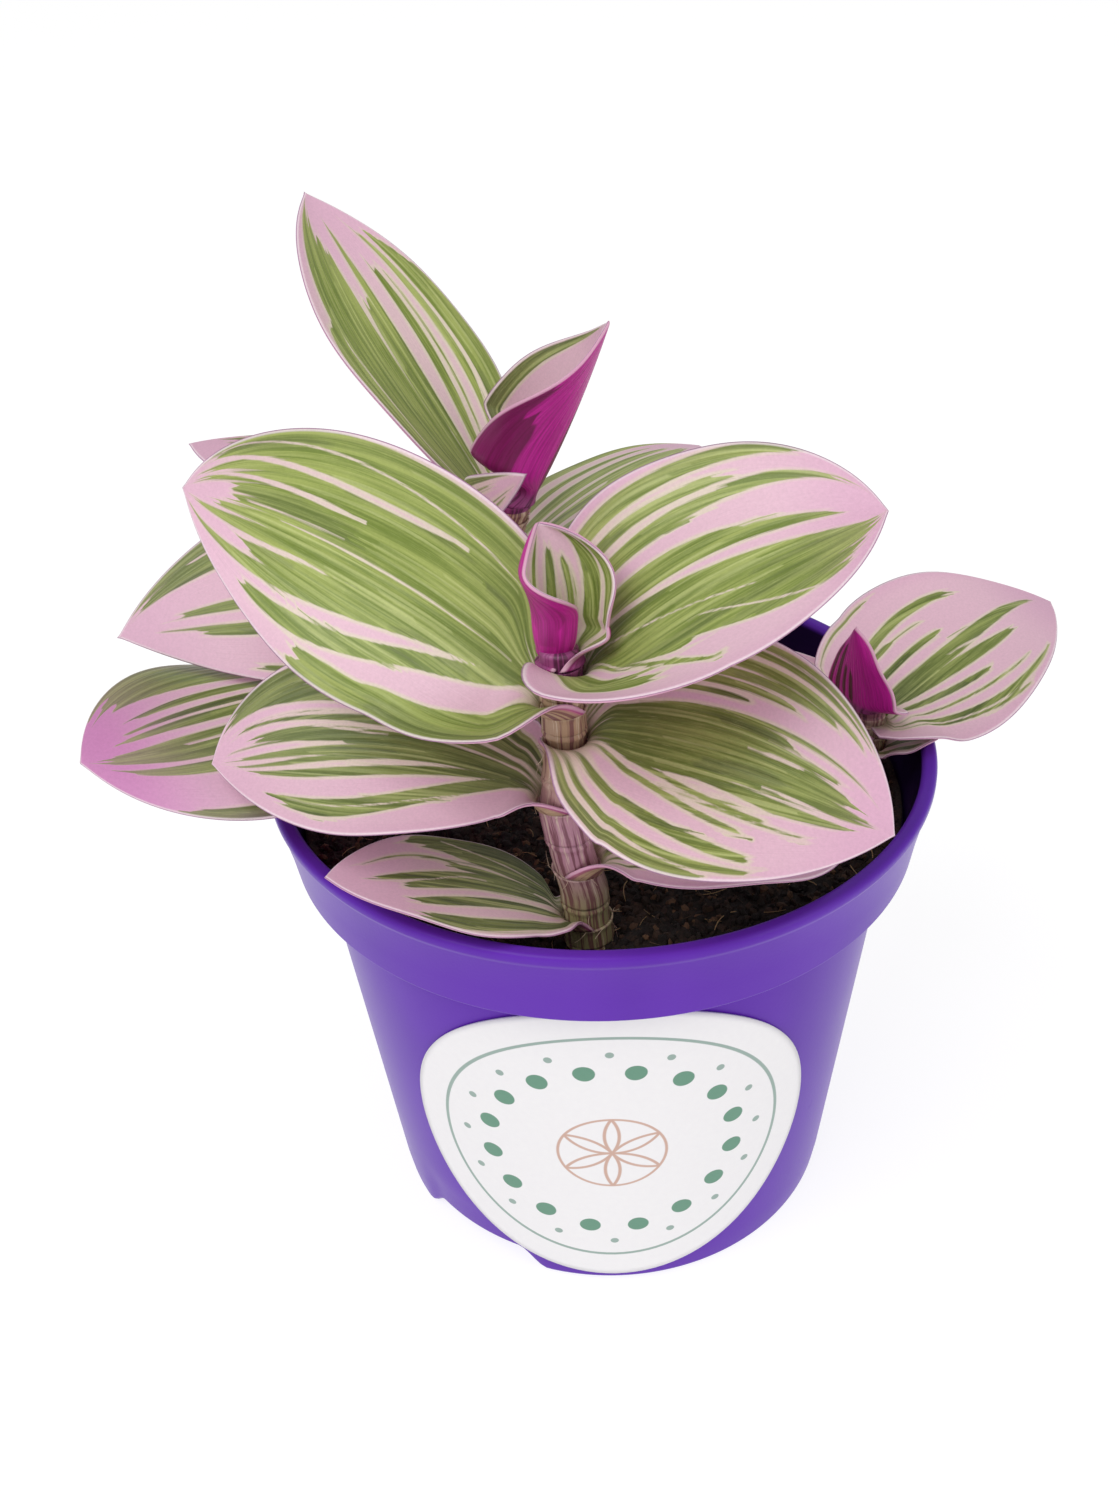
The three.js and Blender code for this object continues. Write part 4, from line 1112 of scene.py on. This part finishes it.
def potPlasticAndShade():
    finish = Finish("pot_plastic")
    shade = shades(potColours)
    x, y, z = finish.placeParts()
    flow = finish.noise(1, 2, 0.5, finish.vector(x * 45, y * 45, z * 7))
    cloud = finish.noise(28, 3, 0.5)
    grain = finish.noise(1900, 2, 0.6)
    surface = finish.mix(cloud.step(0.35, 0.7) * 0.35, shade["plastic"], shade["light"])
    surface = finish.mix(flow.step(0.5, 0.8) * 0.25, surface, shade["deep"])
    # Painted shade: the inner wall between the ledge and the lip is drawn near black over the plastic's own
    # colour, as it lies in shade
    leaning = (x * x + y * y).power(0.5) - z * pot["innerShadeSlope"]
    inside = 1 - leaning.step(pot["innerShadeReach"] * mm, (pot["innerShadeReach"] + 0.4) * mm)
    low, high = pot["innerShadeFrom"] * mm, pot["innerShadeTo"] * mm
    inside = inside * z.step(low, low + 0.6 * mm) * (1 - z.step(high - mm, high))
    surface = finish.mix(inside, surface, shade["inside"])
    scuffs = finish.noise(1, 4, 0.7, finish.vector(x * 240, y * 240, z * 90)).step(0.66, 0.78)
    finish.set(Base_Color=surface, Roughness=0.3 + (cloud - 0.5) * 0.12 + scuffs * 0.12)
    finish.bump(grain * 0.5 + flow * 1.5, 0.25, 0.00012)
    finish.set(Coat_Weight=0.03, Coat_Roughness=0.2, Specular_IOR_Level=0.09)
    return finish.material


makePot()
print("pot made")


# Label: a round sheet on the pot's front, with a made-up ring of dots and a rosette of petals

# bigDots and smallDots give the radius of their ring, their own radius and the width of their soft edge
label = {
    "radius": 33.3,
    "centreHeight": 35.6,
    "front": 0.5,
    "back": 0.15,
    "rings": 26,
    "segments": 128,
    "ringRadius": 27.4,
    "ringWidth": 0.32,
    "dots": 16,
    "bigDots": (19.6, 1.75, 0.15),
    "smallDots": (23.6, 0.72, 0.12),
    "petals": 6,
    "petalRadius": 8.4,
    "lineWidth": 0.3,
    "edgeWidth": 0.9,
}
labelColours = {
    "paper": "efedee",
    "fibre": "dcd8de",
    "edge": "b9b2c2",
    "green": "5f8f78",
    "grey": "93a8a0",
    "rose": "c9a596",
}


def labelPaper():
    finish = Finish("label_paper")
    shade = shades(labelColours)
    across, up, distance, _ = finish.attribute("labelPlace")
    turn = up.math("ARCTAN2", up, across) / (2 * math.pi)
    fibre = finish.noise(900, 3, 0.6)
    surface = finish.mix(fibre * 0.25, shade["paper"], shade["fibre"])
    for dots, shift, colour in (("bigDots", 0.0, "green"), ("smallDots", 0.5, "grey")):
        radius, size, soft = label[dots]
        share = (turn * label["dots"] + shift).fraction() - 0.5
        beside = share * (2 * math.pi / label["dots"]) * radius
        away = (beside.power(2) + (distance - radius).power(2)).power(0.5)
        surface = finish.mix(1 - away.step(size - soft, size), surface, shade[colour])
    ring = (distance - label["ringRadius"]).size()
    onRing = 1 - ring.step(label["ringWidth"] - 0.1, label["ringWidth"] + 0.06)
    surface = finish.mix(onRing, surface, shade["grey"])
    reach = label["petalRadius"]
    nearest = (distance - reach).size()
    for i in range(label["petals"]):
        angle = 2 * math.pi / label["petals"] * (i + 0.5)
        fromCentre = (across - reach * math.cos(angle)).power(2) + (up - reach * math.sin(angle)).power(2)
        nearest = nearest.least((fromCentre.power(0.5) - reach).size())
    inside = 1 - distance.step(reach + 0.1, reach + 0.3)
    line = (1 - nearest.step(label["lineWidth"] - 0.14, label["lineWidth"] + 0.06)) * inside
    surface = finish.mix(line, surface, shade["rose"])
    worn = distance.step(label["radius"] - label["edgeWidth"], label["radius"]) * 0.3
    surface = finish.mix(worn, surface, shade["edge"])
    finish.set(Base_Color=surface, Roughness=0.5 + (fibre - 0.5) * 0.15)
    finish.bump(fibre, 0.15, 0.0001)
    return finish.material


def makeLabel():
    reaches = np.linspace(0, 1, label["rings"] + 1)[1:] * label["radius"]
    angles = np.linspace(0, 2 * np.pi, label["segments"], endpoint=False)
    across = np.concatenate([[0], (reaches[:, None] * np.cos(angles)).ravel()])
    up = np.concatenate([[0], (reaches[:, None] * np.sin(angles)).ravel()])
    height = label["centreHeight"] + up
    radius = bodyRadius(height)
    turn = across / radius - np.pi / 2
    sides = []
    for standoff in (label["front"], label["back"]):
        far = radius + standoff
        sides.append(np.stack([np.cos(turn) * far, np.sin(turn) * far, height], -1))
    count = len(across)
    n = label["segments"]
    faces = []

    def at(ring, i):
        return 1 + ring * n + i % n

    for i in range(n):
        faces.append((0, at(0, i), at(0, i + 1)))
        for ring in range(label["rings"] - 1):
            faces.append((at(ring, i), at(ring + 1, i), at(ring + 1, i + 1), at(ring, i + 1)))
    back = [tuple(corner + count for corner in face[::-1]) for face in faces]
    edge = label["rings"] - 1
    rim = []
    for i in range(n):
        here, after = at(edge, i), at(edge, i + 1)
        rim.append((here, here + count, after + count, after))
    faces = faces + back + rim
    distance = np.hypot(across, up)
    layer = np.stack([across, up, distance, distance * 0 + 1], -1)
    layers = {"labelPlace": np.vstack([layer, layer])}
    piece = addMesh("fine_label", np.vstack(sides), faces, [0] * len(faces), [labelPaper()], layers)
    dress(piece, "label")


makeLabel()
print("label made")


# Geometry Nodes helpers

fullTurn = 6.28


class NodeTree(Nodes):
    # A geometry tree with named inputs
    def __init__(self, name):
        self.tree = bpy.data.node_groups.new(name, "GeometryNodeTree")
        self.tree.interface.new_socket("Geometry", in_out="INPUT", socket_type="NodeSocketGeometry")
        self.tree.interface.new_socket("Geometry", in_out="OUTPUT", socket_type="NodeSocketGeometry")
        self.entry = self.tree.nodes.new("NodeGroupInput")
        self.exit = self.tree.nodes.new("NodeGroupOutput")
        self.identifiers = {}

    def inputs(self, **kinds):
        for name, kind in kinds.items():
            socket = self.tree.interface.new_socket(name, in_out="INPUT", socket_type="NodeSocket" + kind)
            self.identifiers[name] = socket.identifier
        return {name: self.entry.outputs[name] for name in kinds}

    def vector(self, x, y, z):
        return self.node("ShaderNodeCombineXYZ", None, {0: x, 1: y, 2: z}).outputs[0]

    def random(self, low, high, seed, kind="FLOAT"):
        at = {"FLOAT": (2, 3, 1), "FLOAT_VECTOR": (0, 1, 0)}[kind]
        values = {at[0]: low, at[1]: high, "Seed": seed}
        made = self.node("FunctionNodeRandomValue", {"data_type": kind}, values)
        return made.outputs[at[2]]

    def strew(self, instance, spin, size, inputs):
        # Copies of an instance strewn over the base, each with a tone of its own
        seed = inputs["Seed"]
        values = {"Mesh": self.entry.outputs["Geometry"], "Density": inputs["Density"], "Seed": seed}
        points = self.node("GeometryNodeDistributePointsOnFaces", None, values).outputs["Points"]
        values = {"Points": points, "Instance": instance, "Rotation": spin, "Scale": size}
        placed = self.node("GeometryNodeInstanceOnPoints", None, values).outputs[0]
        settings = {"data_type": "FLOAT", "domain": "INSTANCE"}
        values = {"Geometry": placed, "Name": "crumbTone", "Value": self.random(0.0, 1.0, seed)}
        toned = self.node("GeometryNodeStoreNamedAttribute", settings, values).outputs[0]
        real = self.node("GeometryNodeRealizeInstances", None, {0: toned}).outputs[0]
        values = {"Geometry": real, "Material": inputs["Material"]}
        made = self.node("GeometryNodeSetMaterial", None, values).outputs[0]
        self.tree.links.new(made, self.exit.inputs[0])

    def run(self, base, name, values):
        modifier = base.modifiers.new("nodes", "NODES")
        modifier.node_group = self.tree
        for key, value in values.items():
            modifier[self.identifiers[key]] = value
        depsgraph = bpy.context.evaluated_depsgraph_get()
        depsgraph.update()
        mesh = bpy.data.meshes.new_from_object(base.evaluated_get(depsgraph))
        base.modifiers.remove(modifier)
        piece = bpy.data.objects.new(name, mesh)
        bpy.context.collection.objects.link(piece)
        return piece


# Peat: a rough filled body, with crumbs and fibres on its top

peat = {
    "ledgeInset": 2.15,
    "inset": 1.65,
    "rings": 72,
    "segments": 200,
    "roughness": 0.9,
    "calmBand": 2,
    "calm": 0.7,
    "crumbs": 5200,
    "smallestCrumb": 0.28,
    "largestCrumb": 1.15,
    "fibres": 420,
    "fibreLength": 6.0,
    "fibreRadius": 0.09,
    "shortestFibre": 0.35,
    "topReach": 46.6,
    "topRings": 40,
    "topSegments": 96,
}
peatColours = {"dark": "17100c", "brown": "3a281c", "light": "6e5138", "fibre": "a58a62"}


def soilRelief(x, y):
    broad = np.sin(0.21 * x + 1) * np.cos(0.17 * y + 0.4)
    fine = np.sin(0.63 * x + 0.41 * y) * np.cos(0.52 * y - 0.3 * x)
    return soilRoughness * (0.9 * broad + 0.6 * fine)


def lumps(x, y):
    # Finer unevenness than the part's source has
    total = 0 * x
    for scale, height in ((1.1, 0.35), (2.3, 0.25), (4.7, 0.16)):
        bent = np.sin(scale * x + 1.7 * np.sin(scale * 0.7 * y))
        total = total + height * bent * np.cos(scale * 0.9 * y + scale)
    return peat["roughness"] * total


def peatFinish():
    finish = Finish("peat")
    shade = shades(peatColours)
    lumpy = finish.noise(260, 4, 0.7)
    fine = finish.noise(1300, 3, 0.7)
    surface = finish.mix(lumpy.step(0.42, 0.7), shade["dark"], shade["brown"])
    surface = finish.mix(fine.step(0.6, 0.72) * 0.45, surface, shade["light"])
    finish.set(Base_Color=surface, Roughness=0.9 + (fine - 0.5) * 0.15)
    finish.bump(lumpy + fine * 0.7, 0.8, 0.0006)
    return finish.material


def crumbFinish():
    finish = Finish("peat_crumbs")
    shade = shades(peatColours)
    tone = finish.factor("crumbTone")
    fine = finish.noise(1800, 3, 0.7)
    surface = finish.mix((tone + (fine - 0.5) * 0.5).step(0.25, 0.95), shade["dark"], shade["brown"])
    surface = finish.mix(tone.step(0.86, 1.0) * 0.8, surface, shade["light"])
    finish.set(Base_Color=surface, Roughness=0.88 + (fine - 0.5) * 0.2)
    finish.bump(fine, 0.7, 0.0003)
    return finish.material


def fibreFinish(name, dark, light):
    finish = Finish(name)
    tone = finish.factor("crumbTone")
    fine = finish.noise(700, 2, 0.6)
    surface = finish.mix((tone + (fine - 0.5) * 0.6).step(0.2, 0.9), tint(dark), tint(light))
    finish.set(Base_Color=surface, Roughness=0.7 + (fine - 0.5) * 0.2)
    return finish.material


def makePeat():
    wallInset, ledgeInset = peat["inset"], peat["ledgeInset"]
    edge = pot["collarFoot"] - ledgeInset
    profile = [(0, pot["floor"] + gap)]
    profile += [
        (pot["bodyFoot"] - pot["archDepth"] - pot["innerFootRound"] - 2 * gap, pot["floor"] + gap),
        (bodyRadius(pot["innerFootHeight"]) - wallInset - gap, pot["innerFootHeight"] + gap),
        (pot["bodyTop"] - wallInset, pot["collarFootHeight"] - pot["wall"] + gap),
        (edge, pot["collarFootHeight"] + pot["wall"] + 2 * gap),
    ]
    profile += [(radius, soilHeight) for radius in np.linspace(edge, 0, peat["rings"])]
    points, faces = turnedMesh(profile, peat["segments"])
    top = points[:, 2] > soilHeight - 0.01
    x, y = points[:, 0], points[:, 1]
    calm = 1 - peat["calm"] * smooth(np.hypot(x, y), edge - peat["calmBand"], edge)
    points[:, 2] += top * (soilRelief(x, y) + lumps(x, y) * calm)
    piece = addMesh("fine_peat", points, faces, [0] * len(faces), [peatFinish()])
    dress(piece, "soil")


def peatTop():
    # A bare sheet over the peat's top, for the crumbs and fibres to be strewn on
    rings, segments = peat["topRings"], peat["topSegments"]
    reaches = np.linspace(0, peat["topReach"], rings)
    angles = np.linspace(0, 2 * np.pi, segments)
    x = reaches[:, None] * np.cos(angles)
    y = reaches[:, None] * np.sin(angles)
    z = soilHeight + soilRelief(x, y) + lumps(x, y) * 0.6
    points = np.stack([x, y, z], -1).reshape(-1, 3)
    faces = gridFaces(rows=rings, columns=segments)
    return addMesh("peat_top", points, faces, [0] * len(faces), [])


def crumbTree():
    tree = NodeTree("crumbs")
    inputs = tree.inputs(
        Density="Float", Smallest="Vector", Largest="Vector", Seed="Int", Material="Material"
    )
    seed = inputs["Seed"]
    crumb = tree.node("GeometryNodeMeshIcoSphere", None, {"Radius": 1.0, "Subdivisions": 1}).outputs["Mesh"]
    spin = tree.random((0, 0, 0), (fullTurn, fullTurn, fullTurn), seed, "FLOAT_VECTOR")
    size = tree.random(inputs["Smallest"], inputs["Largest"], seed, "FLOAT_VECTOR")
    tree.strew(crumb, spin, size, inputs)
    return tree


def fibreTree():
    tree = NodeTree("fibres")
    inputs = tree.inputs(
        Density="Float", Length="Float", Radius="Float", Tilt="Float", Seed="Int", Material="Material"
    )
    length, tilt, seed = inputs["Length"], inputs["Tilt"], inputs["Seed"]
    bow = {"Resolution": 7, "Start": (-0.5, 0, 0), "Middle": (0.05, 0.3, 0.16), "End": (0.5, -0.06, 0.02)}
    line = tree.node("GeometryNodeCurveQuadraticBezier", None, bow).outputs[0]
    values = {"Geometry": line, "Scale": tree.vector(length, length, length)}
    scaled = tree.node("GeometryNodeTransform", None, values).outputs[0]
    values = {"Resolution": 4, "Radius": inputs["Radius"]}
    ring = tree.node("GeometryNodeCurvePrimitiveCircle", None, values).outputs[0]
    tube = tree.node("GeometryNodeCurveToMesh", None, {"Curve": scaled, "Profile Curve": ring}).outputs[0]
    lean = tree.node("ShaderNodeMath", {"operation": "MULTIPLY"}, {0: tilt, 1: -1.0}).outputs[0]
    low = tree.vector(lean, lean, 0.0)
    high = tree.vector(tilt, tilt, fullTurn)
    spin = tree.random(low, high, seed, "FLOAT_VECTOR")
    size = tree.random(peat["shortestFibre"], 1.0, seed)
    tree.strew(tube, spin, size, inputs)
    return tree


def strewPeat():
    base = peatTop()
    area = math.pi * (peat["topReach"] * mm) ** 2
    small, large = peat["smallestCrumb"] * mm, peat["largestCrumb"] * mm
    values = {
        "Density": peat["crumbs"] / area,
        "Smallest": (small, small, small * 0.7),
        "Largest": (large, large, large * 0.7),
        "Seed": 4,
        "Material": crumbFinish(),
    }
    crumbs = crumbTree().run(base, "peat_crumbs", values)
    values = {
        "Density": peat["fibres"] / area,
        "Length": peat["fibreLength"] * mm,
        "Radius": peat["fibreRadius"] * mm,
        "Tilt": 0.35,
        "Seed": 9,
        "Material": fibreFinish("peat_fibres", peatColours["brown"], peatColours["fibre"]),
    }
    fibres = fibreTree().run(base, "peat_fibres", values)
    bpy.data.objects.remove(base)
    dress(crumbs, "soil", added=True)
    dress(fibres, "soil", added=True)


makePeat()
strewPeat()
print("peat made")


# Fine hairs and old sheath shreds round the front stem's nodes

hairs = {
    "bands": [(75.5, 81), (88.4, 91), (100.4, 102.4), (106.5, 112.4)],
    "count": 70,
    "length": 3.4,
    "radius": 0.05,
    "standoff": 0.9,
    "levels": 6,
    "dark": "6b4a45",
    "light": "cbb79c",
}


def makeHairs():
    stem = stems["a"]
    area = 0
    parts = []
    for number, (low, high) in enumerate(hairs["bands"]):
        levels = np.linspace(low, high, hairs["levels"])
        radii = plainRadius(stem, levels) + hairs["standoff"]
        points, faces, _ = tubeMesh(stem, levels, radii)
        area += 2 * math.pi * radii.mean() * (high - low) * mm**2
        parts.append(addMesh(f"hair_band_{number}", points, faces[:-2], [0] * (len(faces) - 2), []))
    mesh = bmesh.new()
    for part in parts:
        mesh.from_mesh(part.data)
        bpy.data.objects.remove(part)
    base = addMesh("hair_base", [(0, 0, 0)], [], [], [])
    mesh.to_mesh(base.data)
    mesh.free()
    values = {
        "Density": hairs["count"] / area,
        "Length": hairs["length"] * mm,
        "Radius": hairs["radius"] * mm,
        "Tilt": 1.2,
        "Seed": 21,
        "Material": fibreFinish("stem_hairs", hairs["dark"], hairs["light"]),
    }
    piece = fibreTree().run(base, "stem_hairs", values)
    bpy.data.objects.remove(base)
    dress(piece, "stem_a", added=True)


makeHairs()
print("hairs made")


# Floor and light, in metres and watts

stage = {
    "floor": "8c8c8c",
    "speckle": "828282",
    "reach": 4.0,
    "world": 0.52,
    "glow": 0.82,
    "middle": (0, 0, 0.09),
}
lights = {
    "key_light": dict(place=(-0.35, -0.45, 0.85), size=(0.6, 0.6), power=4.6),
    "fill_light": dict(place=(0.75, -0.5, 0.45), size=(0.4, 0.8), power=1.8),
}


def makeStage():
    size = stage["reach"]
    mesh = bpy.data.meshes.new("floor")
    corners = [(-size, -size, 0), (size, -size, 0), (size, size, 0), (-size, size, 0)]
    mesh.from_pydata(corners, [], [(0, 1, 2, 3)])
    floor = bpy.data.objects.new("floor", mesh)
    bpy.context.collection.objects.link(floor)
    finish = Finish("floor")
    speckle = finish.noise(60, 2, 0.5)
    surface = finish.mix(speckle * 0.1, tint(stage["floor"]), tint(stage["speckle"]))
    finish.set(Base_Color=surface, Roughness=0.8)
    finish.set(Emission_Color=(1, 1, 1, 1), Emission_Strength=stage["glow"])
    mesh.materials.append(finish.material)


def addLight(name, place, size, power):
    data = bpy.data.lights.new(name, "AREA")
    data.shape = "RECTANGLE"
    data.size, data.size_y = size
    data.energy = power
    lamp = bpy.data.objects.new(name, data)
    bpy.context.collection.objects.link(lamp)
    aim = (Vector(stage["middle"]) - Vector(place)).to_track_quat("-Z", "Y")
    lamp.matrix_world = Matrix.Translation(place) @ aim.to_matrix().to_4x4()


def makeLight():
    world = bpy.data.worlds.new("world")
    world.use_nodes = True
    background = world.node_tree.nodes["Background"]
    background.inputs[0].default_value = (1, 1, 1, 1)
    background.inputs[1].default_value = stage["world"]
    bpy.context.scene.world = world
    for name, light in lights.items():
        addLight(name, **light)
    bpy.context.scene.view_settings.view_transform = "Standard"
    bpy.context.scene.view_settings.look = "None"


makeStage()
makeLight()
print("stage and light made")

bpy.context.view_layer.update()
